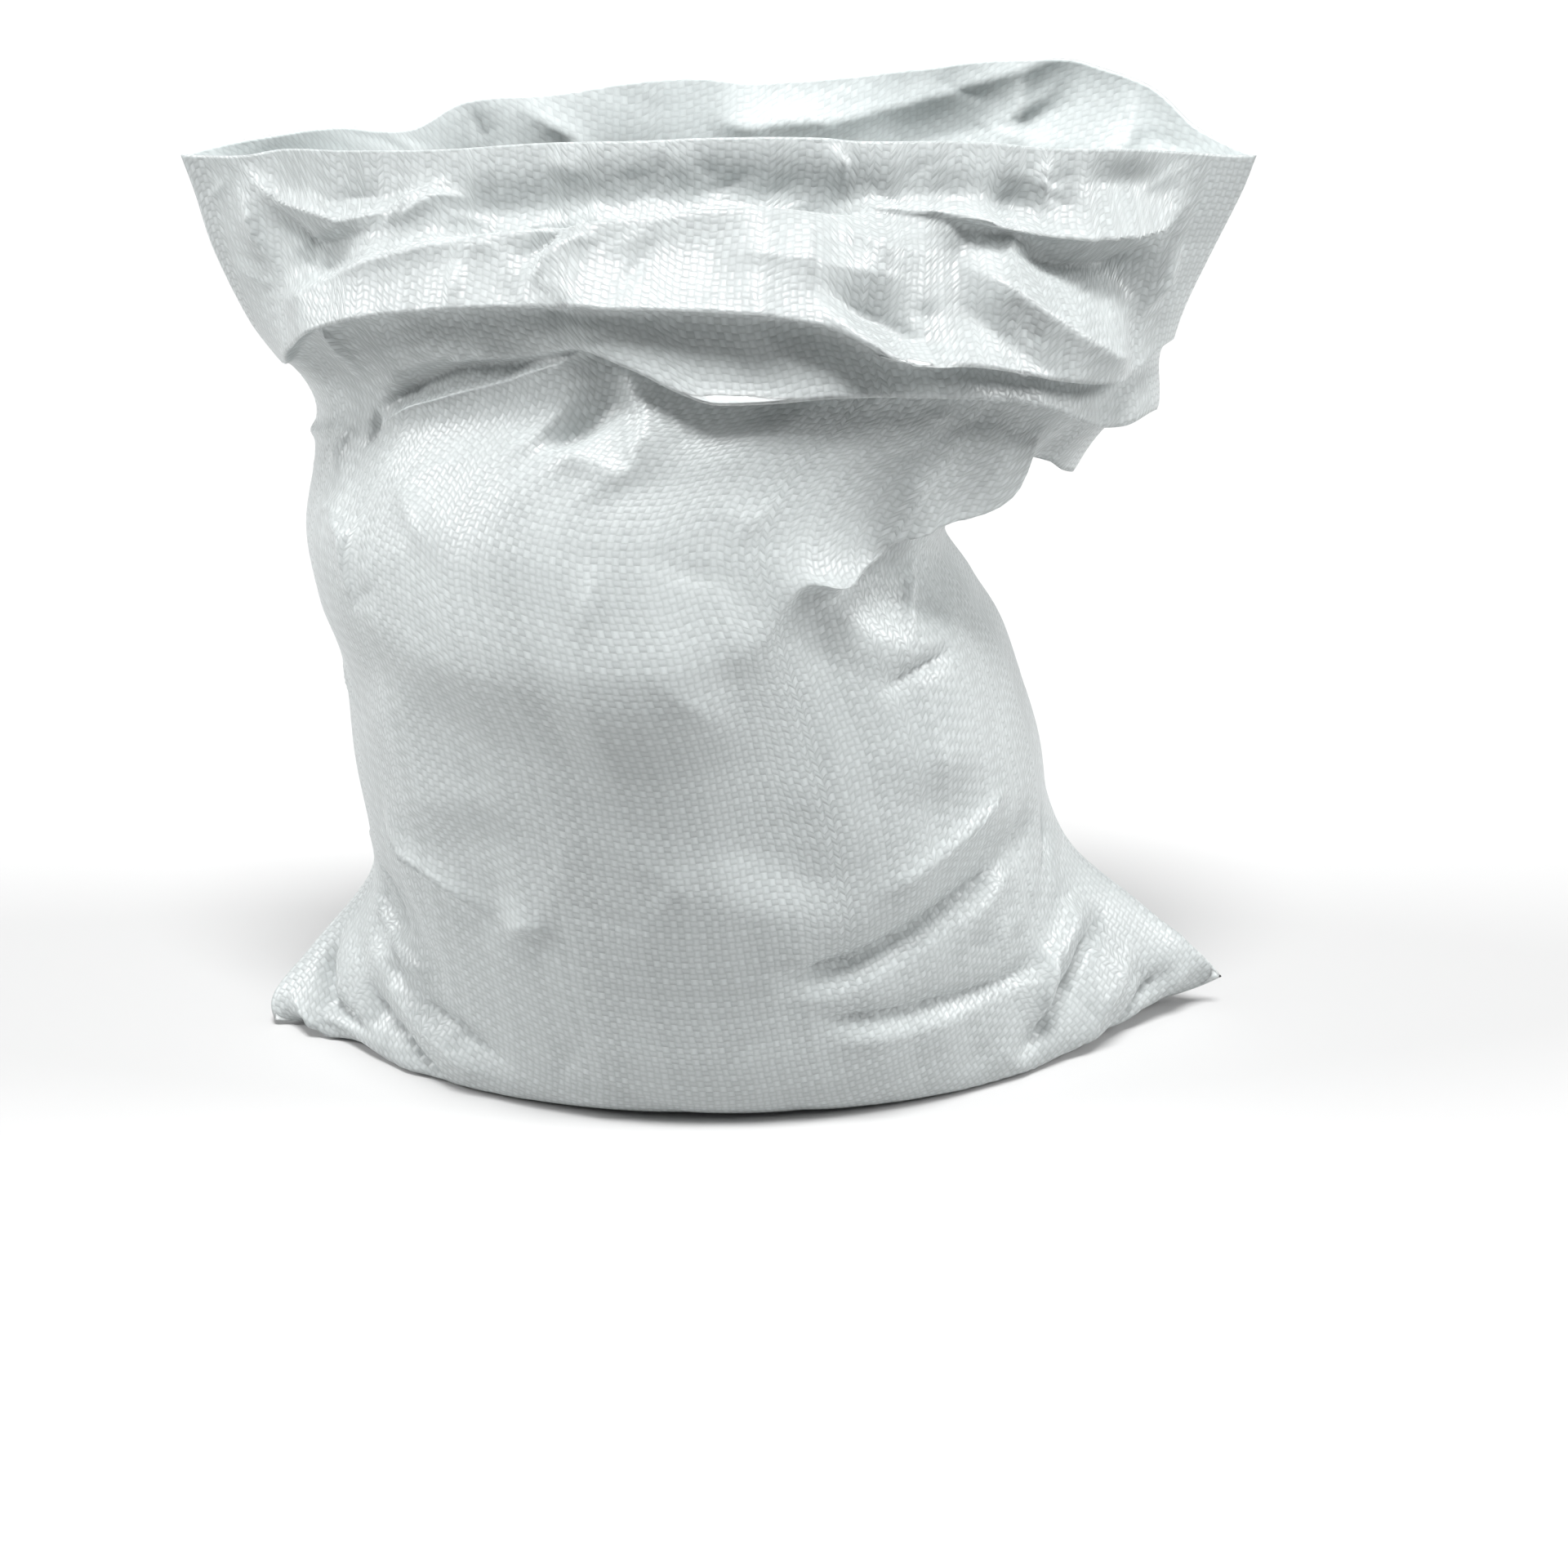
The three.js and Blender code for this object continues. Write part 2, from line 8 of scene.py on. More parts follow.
import bmesh
import bpy
import numpy as np
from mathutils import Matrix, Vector


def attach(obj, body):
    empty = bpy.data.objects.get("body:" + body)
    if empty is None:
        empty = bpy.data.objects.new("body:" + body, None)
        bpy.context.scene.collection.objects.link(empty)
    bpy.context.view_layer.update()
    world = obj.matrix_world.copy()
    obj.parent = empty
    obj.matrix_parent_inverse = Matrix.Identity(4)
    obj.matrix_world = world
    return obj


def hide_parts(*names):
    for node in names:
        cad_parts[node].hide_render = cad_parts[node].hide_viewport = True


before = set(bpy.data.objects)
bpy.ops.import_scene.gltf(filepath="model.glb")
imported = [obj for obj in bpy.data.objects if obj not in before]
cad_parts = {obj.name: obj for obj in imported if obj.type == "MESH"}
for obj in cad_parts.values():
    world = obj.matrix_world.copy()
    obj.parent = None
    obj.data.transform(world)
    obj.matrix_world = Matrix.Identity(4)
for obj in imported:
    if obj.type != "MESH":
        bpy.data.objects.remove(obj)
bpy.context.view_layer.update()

# ---------------------------------------------------------------- sizes of the cloth, millimetres
MM = 0.001
FLAT_WIDTH = 400.0
GIRTH = 2 * FLAT_WIDTH
CENTRE = (0.008, 5.368, 0.0)  # the cloth's own zero, seen from the middle of the model's box
COLUMNS = 440  # of the cloth's mesh
CLOTH_THICKNESS = 0.7  # of the rendered cloth, so that its rim shows as a turned hem
CLOTH_LOW = 1.5  # the outside of the cloth lies no lower than this

# Rings from the bottom seam to the rim: left corner x z, right corner x z, front y z, back y z, how
# pointed the corners are, and how near to the corners the ring rises to their height.
RINGS = np.array([
    (-180, 2, 192, 14, 0, 0, 0, 0, 1.00, 8),
    (-180, 12, 182, 26, -48, 0, 48, 0, 0.74, 8),
    (-164, 31, 158, 48, -86, 0, 84, 0, 0.60, 8),
    (-141, 60, 133, 70, -108, 22, 104, 20, 0.58, 4),
    (-139, 85, 122, 92, -117, 60, 113, 56, 0.52, 3),
    (-143, 117, 117, 120, -117, 108, 116, 102, 0.50, 2),
    (-145, 155, 104, 160, -118, 155, 114, 146, 0.50, 2),
    (-152, 182, 92, 180, -121, 190, 108, 182, 0.50, 2),
    (-156, 205, 80, 203, -113, 225, 98, 215, 0.52, 2),
    (-152, 228, 100, 224, -99, 252, 84, 240, 0.55, 2),
    (-149, 245, 130, 240, -88, 268, 75, 257, 0.60, 2),
    (-156, 260, 150, 254, -84, 283, 73, 273, 0.65, 2),
    (-172, 278, 158, 274, -83, 300, 76, 291, 0.72, 2),
    (-184, 303, 172, 301, -71, 322, 70, 316, 0.80, 2),
    (-190, 325, 183, 324, -57, 341, 58, 341, 0.85, 2),
    (-194, 338, 188, 338, -50, 352, 50, 358, 0.90, 2),
], float)

# Folds that hang over the cloth below them. Places around the sack, with the height of the
# fold's edge, how far it stands out, how far it hangs down, its reach above and below the edge,
# and how much the edge is rounded.
FOLDS = {
    "neck": dict(
        line=[(0, 333), (40, 318), (120, 286), (200, 268), (300, 252), (400, 240), (480, 258),
              (540, 245), (640, 256), (668, 275), (686, 275), (698, 284), (711, 294), (726, 306),
              (740, 321), (756, 330), (776, 333)],
        out=[(0, 13), (40, 10), (120, 6), (300, 5), (400, 1), (480, 2), (540, 4), (640, 6),
             (700, 11), (740, 7), (758, 4), (780, 10)],
        hang=[(0, 11), (40, 8), (120, 3), (300, 1), (400, 0), (480, 1), (600, 1), (680, 6),
              (736, 5), (756, 5), (780, 10)],
        above=[(0, 7), (100, 22), (400, 22), (600, 26), (700, 30), (745, 24), (775, 9)],
        below=[(0, 3), (150, 12), (400, 16), (480, 12), (600, 14), (680, 3.6), (760, 3)],
        round=[(0, 0.5), (100, 5), (400, 8), (600, 8), (660, 3), (690, 0.6), (760, 0.4)],
    ),
    "second": dict(
        line=[(0, 353), (200, 332), (400, 326), (450, 334), (500, 346), (536, 360), (556, 367),
              (572, 364), (584, 359), (600, 355), (640, 359), (686, 360), (715, 359),
              (745, 355), (780, 355)],
        out=[(0, 9), (200, 8), (360, 6), (400, 4), (450, 2), (530, 2), (552, 6), (570, 11),
             (600, 14), (700, 15), (760, 13), (780, 11)],
        hang=[(0, 3), (200, 6), (400, 2), (450, 0), (530, 0), (552, 4), (566, 8), (600, 13),
              (700, 11), (760, 9), (785, 4)],
        above=[(0, 6), (60, 9), (700, 9), (760, 7)],
        below=[(0, 2.6), (400, 6), (460, 4), (600, 2.6), (700, 2.6)],
        round=[(0, 1), (400, 2), (600, 1), (700, 1)],
    ),
    "first": dict(
        line=[(0, 374), (200, 366), (370, 362), (404, 362), (424, 367), (439, 375), (466, 383),
              (512, 384), (600, 380), (640, 378), (660, 373), (700, 372), (736, 369), (770, 370)],
        out=[(0, 4), (200, 9), (360, 7), (400, 2), (440, 9), (480, 12), (600, 12), (660, 15),
             (720, 14), (760, 8), (785, 5)],
        hang=[(0, 2), (200, 7), (360, 6), (400, 2), (440, 9), (480, 10), (600, 9), (660, 11),
              (720, 10), (760, 6), (785, 2)],
        above=[(0, 14), (400, 14), (600, 12)],
        below=[(0, 3), (200, 5), (400, 4), (600, 2.4), (700, 2.4)],
        round=[(0, 1), (400, 1), (600, 0.6), (700, 1)],
    ),
}

# Sharp creases: height (below 0 for a groove), how far its flanks reach to the left and right of
# the path, how far its crest leans over to the right, and the path. The left of a path that runs
# towards the right corner is above it.
CREASES = [
    # the collar's left pocket
    (4.5, 2, 7, 1, [(425, 436), (444, 419), (468, 412), (488, 414), (497, 424)]),
    (-4, 2, 10, 0, [(434, 424), (456, 405), (484, 408)]),
    (5, 6, 2, 0, [(509, 427), (496, 420), (490, 412), (486, 404)]),
    (4, 4, 2, 0, [(519, 420), (504, 419), (495, 412), (493, 403)]),
    (5, 3, 6, 0, [(424, 431), (431, 407), (442, 391)]),
    (-5, 3, 3, 0, [(446, 402), (456, 395), (474, 400)]),
    # along the collar
    (-9, 9, 2, 0, [(500, 404), (542, 408), (573, 410), (600, 413), (632, 414), (660, 412)]),
    (8, 2.4, 14, 1, [(436, 386), (462, 393), (482, 398), (505, 401), (542, 404), (573, 406),
                     (600, 409), (636, 410)]),
    (7, 14, 2, 2, [(566, 402), (554, 397), (545, 389), (544, 381)]),
    (-6, 2, 4, 0, [(566, 408), (552, 404), (542, 396), (539, 387)]),
    (4, 1.4, 4, 0, [(518, 397), (518, 383)]),
    (4, 1.4, 5, 0, [(636, 414), (635, 400), (636, 392), (638, 384)]),
    (5, 1, 2.5, 0, [(641, 438), (646, 420)]),
    (4, 1.2, 2.5, 0, [(716, 438), (714, 426), (719, 415)]),
    # the collar's right end
    (5, 6, 2, 1, [(646, 415), (666, 413), (690, 411), (712, 409)]),
    (12, 8, 2, 5, [(676, 412), (706, 409), (730, 408), (752, 411), (778, 421)]),
    (-9, 5, 7, 0, [(702, 401), (728, 396), (750, 397), (770, 405)]),
    (-8, 3.5, 2, 0, [(634, 388), (651, 381), (669, 376), (688, 376)]),
    (9, 2, 3, 2, [(634, 384), (649, 377), (665, 371), (688, 372)]),
    (5, 3, 5, 0, [(778, 408), (777, 392), (764, 380)]),
    # under the collar's left half
    (7, 2, 4, 0, [(474, 381), (462, 376), (452, 352)]),
    (5, 9, 2.2, 1, [(460, 341), (471, 350), (484, 357), (500, 360), (520, 360), (538, 357)]),
    (-5, 3, 7, 0, [(462, 338), (480, 349), (500, 354), (524, 355), (546, 358)]),
    (6, 3, 16, 0, [(462, 330), (483, 340), (504, 345), (524, 349), (545, 356), (562, 366)]),
    (-6, 1.2, 1.2, 0, [(463, 344), (462, 320)]),
    (4, 3, 5, 0, [(447, 335), (444, 320), (450, 308)]),
    # the neck's panel
    (6, 11, 3, 1, [(562, 358), (572, 343), (586, 327), (596, 312), (594, 298)]),
    (4, 9, 4, 0, [(540, 322), (562, 314), (586, 306), (604, 302)]),
    (3, 2, 4, 0, [(597, 278), (590, 266), (582, 254)]),
    (4, 3, 7, 0, [(451, 299), (478, 284), (484, 262)]),
    (3, 6, 3, 0, [(492, 308), (512, 294), (536, 276)]),
    (7, 16, 2, 0, [(728, 294), (742, 316), (740, 346)]),
    (4, 2.5, 4, 1, [(667, 279), (683, 272), (699, 274)]),
    # the left side and corner
    (7, 9, 1.5, 1, [(458, 165), (474, 160), (498, 157), (524, 150)]),
    (5, 7, 1.5, 0, [(522, 144), (535, 150), (549, 152)]),
    (-8, 2.2, 4, 0, [(408, 80), (416, 66), (427, 59), (441, 63), (456, 65)]),
    (-7, 2.2, 4, 0, [(432, 78), (451, 77), (466, 76), (481, 71), (497, 65)]),
    (-5, 2, 3, 0, [(434, 129), (447, 122), (450, 106)]),
    (-5, 2, 3, 0, [(462, 92), (490, 94), (518, 91)]),
    (6, 3, 5, 0, [(406, 46), (424, 40), (454, 36)]),
    (5, 3, 5, 0, [(412, 104), (446, 100), (482, 104)]),
    (4, 3, 6, 0, [(420, 90), (452, 88), (486, 84), (512, 78)]),
    # the right side and corner
    (-6, 2.5, 8, 0, [(622, 138), (656, 136), (695, 141), (737, 144)]),
    (5, 3, 12, 0, [(628, 127), (660, 130), (697, 136), (738, 137)]),
    (-5, 2.5, 6, 0, [(634, 121), (664, 116), (689, 111), (747, 91)]),
    (4, 3, 10, 0, [(640, 112), (680, 106), (718, 98), (750, 84)]),
    (-8, 4, 2.2, 0, [(708, 70), (725, 73), (745, 75), (765, 76), (786, 77)]),
    (7, 3, 4, 0, [(720, 74), (746, 89), (782, 86)]),
    (-5, 2.2, 3, 0, [(758, 118), (774, 122), (778, 150)]),
    (-6, 2.5, 3, 0, [(752, 40), (774, 46), (790, 40)]),
    (5, 3, 4, 0, [(726, 54), (754, 60), (786, 60)]),
    (4, 2.5, 5, 0, [(664, 158), (700, 166), (744, 176)]),
    (-5, 3, 3, 0, [(684, 228), (705, 235), (734, 239)]),
    (4, 2, 4, 0, [(742, 276), (722, 262), (706, 244)]),
    # the back panel's inside, as it shows through the mouth
    (-3, 2, 5, 0, [(82, 412), (84, 436)]),
    (3, 3, 3, 0, [(290, 440), (282, 427), (276, 414)]),
    (-3, 4, 4, 0, [(276, 438), (253, 427), (236, 410)]),
    (-3, 3, 3, 0, [(46, 438), (42, 424), (50, 408)]),
]

# Flat facets that meet in a straight crest, in the same form as CREASES.
FACETS = [
    (14, 17, 11, 2, [(684, 397), (704, 388), (728, 380), (766, 371)]),
    (10, 34, 3, 0, [(698, 289), (711, 299), (726, 311), (738, 324), (747, 335)]),
    (-8, 14, 15, 0, [(64, 442), (84, 435), (109, 431), (144, 428), (208, 426)]),
    (5, 8, 16, 0, [(640, 404), (662, 398), (684, 396)]),
    (6, 22, 14, 0, [(600, 396), (640, 392), (676, 386)]),
]

# Soft swells and hollows: height, reach above and below the path, and the path.
SWELLS = [
    (-5, 8, 8, [(504, 415), (540, 417), (598, 421), (644, 419), (700, 416), (736, 410)]),
    (-4, 9, 10, [(444, 404), (465, 399), (486, 402)]),
    (-5, 7, 7, [(724, 426), (745, 426), (768, 426)]),
    (-8, 15, 12, [(546, 330), (572, 320)]),
    (-6, 7, 7, [(690, 418), (704, 419), (716, 418)]),
    (-6, 30, 24, [(624, 159), (638, 205), (662, 231), (686, 262)]),
    (5, 26, 26, [(720, 262), (716, 220), (700, 180)]),
    (5, 30, 30, [(478, 236), (500, 200), (510, 170)]),
    (4, 18, 20, [(620, 340), (660, 326), (720, 318)]),
    (-4, 9, 9, [(632, 131), (670, 138), (724, 150), (768, 140)]),
    (4, 18, 16, [(560, 226), (600, 232), (636, 240)]),
    (-4, 12, 12, [(420, 96), (450, 112), (480, 132)]),
    (-5, 10, 10, [(30, 120), (90, 138), (160, 130)]),
    (-5, 10, 10, [(240, 128), (300, 134), (360, 112)]),
    (-6, 22, 22, [(150, 170), (140, 215), (120, 250)]),
    (5, 24, 24, [(250, 180), (262, 220), (280, 246)]),
    (-5, 9, 9, [(60, 402), (140, 410), (230, 404), (330, 410)]),
    (5, 8, 8, [(80, 384), (170, 392), (280, 384), (360, 392)]),
]
CREASE_END = 22.0  # each form fades out over this length at either end of its path
FORM_REACHES = 5  # a form has faded out this many reaches off its path
SEAM_CALM = 30.0  # above the bottom seam the cloth has no creases over this length

# Small crumples, drawn at random: how many, between which places around and heights, their least
# and most length, height and reach, and their slope and its spread, in degrees.
CRUMPLE_SEED = 11
CRUMPLE_POINTS = 4
CRUMPLE_BEND = 0.6  # radians from one end to the other, most either way
CRUMPLES = [
    dict(count=54, around=(404, 796), up=(378, 434), length=(10, 40), height=(0.7, 2.4),
         reach=(1.4, 5), slope=10, spread=60),
    dict(count=34, around=(440, 770), up=(262, 372), length=(12, 45), height=(0.6, 2.0),
         reach=(1.5, 6), slope=10, spread=60),
    dict(count=46, around=(430, 770), up=(60, 256), length=(18, 60), height=(0.4, 1.2),
         reach=(2, 7), slope=0, spread=80),
    dict(count=30, around=(398, 480), up=(20, 130), length=(14, 45), height=(0.6, 1.8),
         reach=(1.5, 4), slope=10, spread=30),
    dict(count=30, around=(716, 802), up=(20, 140), length=(14, 45), height=(0.6, 1.8),
         reach=(1.5, 4), slope=-10, spread=30),
    dict(count=60, around=(20, 390), up=(366, 434), length=(14, 60), height=(0.6, 2.4),
         reach=(1.5, 7), slope=0, spread=40),
    dict(count=44, around=(20, 390), up=(262, 360), length=(18, 70), height=(1.0, 3.4),
         reach=(2, 8), slope=0, spread=45),
    dict(count=40, around=(10, 390), up=(50, 256), length=(20, 80), height=(0.6, 2.0),
         reach=(2, 9), slope=0, spread=80),
]

# The mouth, by places around: how far the rim is raised, how far the back bulges out, how far its
# rim flares back, and which share of the room behind the front the back takes up.
RIM_LIFT = [(0, 0), (22, 5), (38, 16), (58, 20), (80, 22), (104, 17), (122, 13), (150, 9),
            (185, 8), (215, 12), (255, 10), (290, 8), (307, 0), (320, -1), (340, 1), (365, 0),
            (400, 0), (428, -1), (446, 0.6), (470, -0.8), (505, -1.6), (540, -0.2), (575, 0.2),
            (600, 1.2), (635, 1.4), (650, 0.2), (690, 0.8), (716, -0.6), (750, 0.4)]
RIM_BULGE = [(0, 0), (60, 4), (100, 8), (160, 0), (400, 0), (600, 0)]
RIM_FLARE = [(0, 0), (40, 12), (100, 20), (180, 18), (260, 14), (340, 6), (400, 0), (600, 0)]
RIM_SHUT = [(0, 0), (120, 0), (170, 0.25), (220, 0.7), (280, 0.85), (330, 0.7), (380, 0.2),
            (400, 0), (600, 0)]
LIFT_FADE = 30.0  # down from the rim, as are the next two
FLARE_FADE = 26.0
SHUT_FADE = 55.0
FLARE_DROP = 0.37  # as the rim flares back it sinks by this share
SHUT_ROOM = 16.0  # always left between the two panels

# The two bottom corners and the lower front: where around and up, how far they are pulled to x, y
# and z, and over how far around and up.
PULLS = [
    (400, 0, (0, -12, 0), 46, 46),
    (0, 0, (2, 7, -2), 46, 46),
    (606, 122, (0, 10, 0), 96, 40),
    (600, 215, (0, -3, 0), 90, 40),
]


# ---------------------------------------------------------------- the smooth sack
def smoothstep(value, low, high):
    t = np.clip((value - low) / (high - low), 0, 1)
    return t * t * (3 - 2 * t)


def spline(values, position):
    """Catmull-Rom through evenly spaced rows of values."""
    last = len(values) - 1
    index = np.clip(np.floor(position).astype(int), 0, last - 1)
    t = (position - index)[..., None]
    b, c = values[index], values[index + 1]
    a = np.where((index > 0)[..., None], values[np.maximum(index - 1, 0)], 2 * b - c)
    d = np.where((index < last - 1)[..., None], values[np.minimum(index + 2, last)], 2 * c - b)
    cubic = 3 * b - a - 3 * c + d
    return 0.5 * (2 * b + (c - a) * t + (2 * a - 5 * b + 4 * c - d) * t**2 + cubic * t**3)


def around_girth(places, around):
    """A value that is set at some places around the sack, rounded off between them."""
    where, value = np.array(places, float).T
    where = np.concatenate([where[-2:] - GIRTH, where, where[:3] + GIRTH])
    value = np.concatenate([value[-2:], value, value[:3]])
    at = np.mod(around, GIRTH)
    k = np.clip(np.searchsorted(where, at, side="right") - 1, 1, len(where) - 3)
    a, b, c, d = (where[k + n] for n in (-1, 0, 1, 2))
    va, vb, vc, vd = (value[k + n] for n in (-1, 0, 1, 2))
    t = (at - b) / (c - b)
    slope_b = (vc - va) / (c - a) * (c - b)
    slope_c = (vd - vb) / (d - b) * (c - b)
    return ((2 * t**3 - 3 * t**2 + 1) * vb + (t**3 - 2 * t**2 + t) * slope_b
            + (3 * t**2 - 2 * t**3) * vc + (t**3 - t**2) * slope_c)


def ring_points(rings, angle):
    """Points of rings at angles, which start at the right corner and go over the back."""
    xl, zl, xr, zr, yf, zf, yb, zb, point, late = np.moveaxis(rings, -1, 0)
    side = np.cos(angle)
    front = np.sin(angle) <= 0
    middle = np.where(front, zf, zb)
    width = np.power(np.maximum(1 - side**2, 0), point)
    rise = np.abs(side) ** late
    return np.stack([
        xl + (xr - xl) * (side + 1) / 2,
        np.where(front, yf, yb) * width,
        middle + (np.where(side > 0, zr, zl) - middle) * rise,
    ], -1)


RING_STEPS = 32  # fine rings from one of RINGS to the next
ARC_STEPS = 180  # places around from one corner to the other
CORNER_GAP = 1e-9  # keeps the angles just off the corners, where front and back meet
MEASURE_EVERY = 4  # one angle in so many is enough to measure how far apart two rings are


def measure():
    """How far up each fine ring lies, and its angles at evenly spaced places around."""
    positions = np.arange(RING_STEPS * (len(RINGS) - 1) + 1) / RING_STEPS
    rings = spline(RINGS, positions)
    even = np.zeros((len(positions), 2 * ARC_STEPS + 1))
    for half in (0, 1):
        angles = (half + np.linspace(CORNER_GAP, 1 - CORNER_GAP, ARC_STEPS + 1)) * np.pi
        points = ring_points(rings[:, None, :], angles[None, :])
        steps = np.linalg.norm(np.diff(points, axis=1), axis=-1)
        lengths = np.concatenate([np.zeros((len(rings), 1)), np.cumsum(steps, 1)], 1)
        wanted = np.linspace(0, 1, ARC_STEPS + 1)
        for j, length in enumerate(lengths):
            even[j, half * ARC_STEPS:(half + 1) * ARC_STEPS + 1] = np.interp(
                wanted * length[-1], length, angles)
    points = ring_points(rings[:, None, :], even[:, ::MEASURE_EVERY])
    rise = np.linalg.norm(np.diff(points, axis=0), axis=-1).mean(1)
    return positions, np.concatenate([[0], np.cumsum(rise)]), even


RING_POSITIONS, UPS, EVEN_ANGLES = measure()
RIM_UP = UPS[-1]


def smooth_points(around, up):
    """Where places on the flat cloth lie on the sack, without creases and folds."""
    position = np.interp(np.clip(up, 0, RIM_UP), UPS, RING_POSITIONS)
    rings = spline(RINGS, position)
    row = np.clip(position * RING_STEPS, 0, len(UPS) - 1.000001)
    column = np.mod(around, GIRTH) / GIRTH * 2 * ARC_STEPS
    j, i = row.astype(int), np.minimum(column.astype(int), 2 * ARC_STEPS - 1)
    v, u = row - j, column - i
    lower = EVEN_ANGLES[j, i] * (1 - u) + EVEN_ANGLES[j, i + 1] * u
    upper = EVEN_ANGLES[j + 1, i] * (1 - u) + EVEN_ANGLES[j + 1, i + 1] * u
    points = ring_points(rings, lower * (1 - v) + upper * v)
    for place, level, pull, wide, high in PULLS:
        off = np.mod(around - place + FLAT_WIDTH, GIRTH) - FLAT_WIDTH
        share = np.exp(-((off / wide) ** 2) - ((np.maximum(up, 0) - level) / high) ** 2)
        points += share[..., None] * np.array(pull)
    return points


def unit(vectors):
    return vectors / (np.linalg.norm(vectors, axis=-1, keepdims=True) + 1e-12)


def directions(around, up):
    """The directions around the sack, up it and out of it at each place."""
    above = np.minimum(up + 1, RIM_UP)
    across = unit(smooth_points(around + 1, up) - smooth_points(around - 1, up))
    rising = unit(smooth_points(around, above) - smooth_points(around, above - 2))
    return across, rising, unit(np.cross(across, rising))


# ---------------------------------------------------------------- creases, mouth and folds
def crumples():
    """Small creases drawn at random, in the same form as CREASES."""
    random = np.random.default_rng(CRUMPLE_SEED)
    drawn = []
    for zone in CRUMPLES:
        for _ in range(zone["count"]):
            start = [random.uniform(*zone["around"]), random.uniform(*zone["up"])]
            length = random.uniform(*zone["length"])
            height = random.uniform(*zone["height"]) * random.choice((-1, 1))
            angle = math.radians(zone["slope"] + random.uniform(-1, 1) * zone["spread"])
            bend = random.uniform(-CRUMPLE_BEND, CRUMPLE_BEND)
            path = []
            for step in range(CRUMPLE_POINTS):
                part = step / (CRUMPLE_POINTS - 1) - 0.5
                turn = angle + bend * part
                path.append((start[0] + length * part * math.cos(turn),
                             start[1] + length * part * math.sin(turn)))
            flanks = random.uniform(*zone["reach"], 2)
            drawn.append((height, flanks[0], flanks[1], 0, path))
    return drawn


def near_path(path, above, below, around, up):
    """Which points lie near a path, how far off in reaches, and how far in from its ends."""
    places = np.array(path)
    margin = FORM_REACHES * max(above, below)
    inside = ((around > places[:, 0].min() - margin) & (around < places[:, 0].max() + margin)
              & (up > places[:, 1].min() - margin) & (up < places[:, 1].max() + margin))
    if not inside.any():
        return None
    around, up = around[inside], up[inside]
    nearest = np.full(around.shape, np.inf)
    is_above = np.zeros(around.shape, bool)
    along_path = np.zeros(around.shape)
    walked = 0.0
    for (ax, ay), (bx, by) in zip(path, path[1:]):
        ex, ey = bx - ax, by - ay
        length = math.hypot(ex, ey)
        along = np.clip(((around - ax) * ex + (up - ay) * ey) / length, 0, length)
        dx, dy = around - ax - along * ex / length, up - ay - along * ey / length
        distance = np.hypot(dx, dy)
        closer = distance < nearest
        nearest = np.where(closer, distance, nearest)
        is_above = np.where(closer, ex * dy - ey * dx > 0, is_above)
        along_path = np.where(closer, walked + along, along_path)
        walked += length
    end = np.minimum(along_path, walked - along_path) / min(CREASE_END, walked / 2)
    return inside, nearest / np.where(is_above, above, below), smoothstep(end, 0, 1)


# How high a form still is, by how many reaches off its path a point lies.
PROFILES = {
    "sharp": lambda off: np.exp(-off),
    "flat": lambda off: np.maximum(1 - off, 0),
    "soft": lambda off: np.exp(-off**2),
}
FORMS = ([(*crease, "sharp") for crease in CREASES + crumples()]
         + [(*facet, "flat") for facet in FACETS]
         + [(rise, above, below, 0, path, "soft") for rise, above, below, path in SWELLS])


def crease_relief(around, up):
    """How far the creases lift each point out, and how far they slide it along the cloth."""
    height, slide = np.zeros(around.shape), np.zeros((*around.shape, 2))
    for rise, above, below, lean, path, kind in FORMS:
        chord = np.subtract(path[-1], path[0])
        aside = np.array([chord[1], -chord[0]]) / np.linalg.norm(chord) * lean
        for lap in (-GIRTH, 0, GIRTH):
            near = near_path(path, above, below, around + lap, up)
            if near is None:
                continue
            inside, off, end = near
            share = PROFILES[kind](off) * end
            height[inside] += rise * share
            slide[inside] += aside * share[:, None]
    calm = smoothstep(up, 0, SEAM_CALM)[..., None]
    return height[..., None] * calm, slide * calm


def mouth_room(around, up):
    """How far the back can come towards the front."""
    depth = smooth_points(around, up)[..., 1] - smooth_points(GIRTH - around, up)[..., 1]
    return np.where(around > FLAT_WIDTH, 0, np.maximum(depth - SHUT_ROOM, 0))


def cloth_points(around, up):
    """Where places on the flat cloth lie on the sack, with its creases, mouth and folds."""
    points = smooth_points(around, up)
    across, rising, outward = directions(around, up)
    height, slide = crease_relief(around, up)
    points += outward * height + across * slide[..., :1] + rising * slide[..., 1:]
    down = RIM_UP - up
    shut = around_girth(RIM_SHUT, around) * mouth_room(around, up)
    points[..., 1] += (around_girth(RIM_BULGE, around) - shut) * np.exp(-((down / SHUT_FADE) ** 2))
    points[..., 2] += around_girth(RIM_LIFT, around) * np.exp(-((down / LIFT_FADE) ** 2))
    flare = around_girth(RIM_FLARE, around) * np.exp(-((down / FLARE_FADE) ** 2))
    points[..., 1] += flare
    points[..., 2] -= flare * FLARE_DROP
    for fold in FOLDS.values():
        distance = up - around_girth(fold["line"], around)
        side = np.where(distance > 0, around_girth(fold["above"], around),
                        around_girth(fold["below"], around))
        soft = around_girth(fold["round"], around)
        share = np.exp((soft - np.hypot(distance, soft)) / side)
        points += outward * (share * around_girth(fold["out"], around))[..., None]
        hang = np.maximum(around_girth(fold["hang"], around), 0)
        points -= rising * (share * hang)[..., None]
    points[..., 2] = np.maximum(points[..., 2], CLOTH_LOW)
    return points


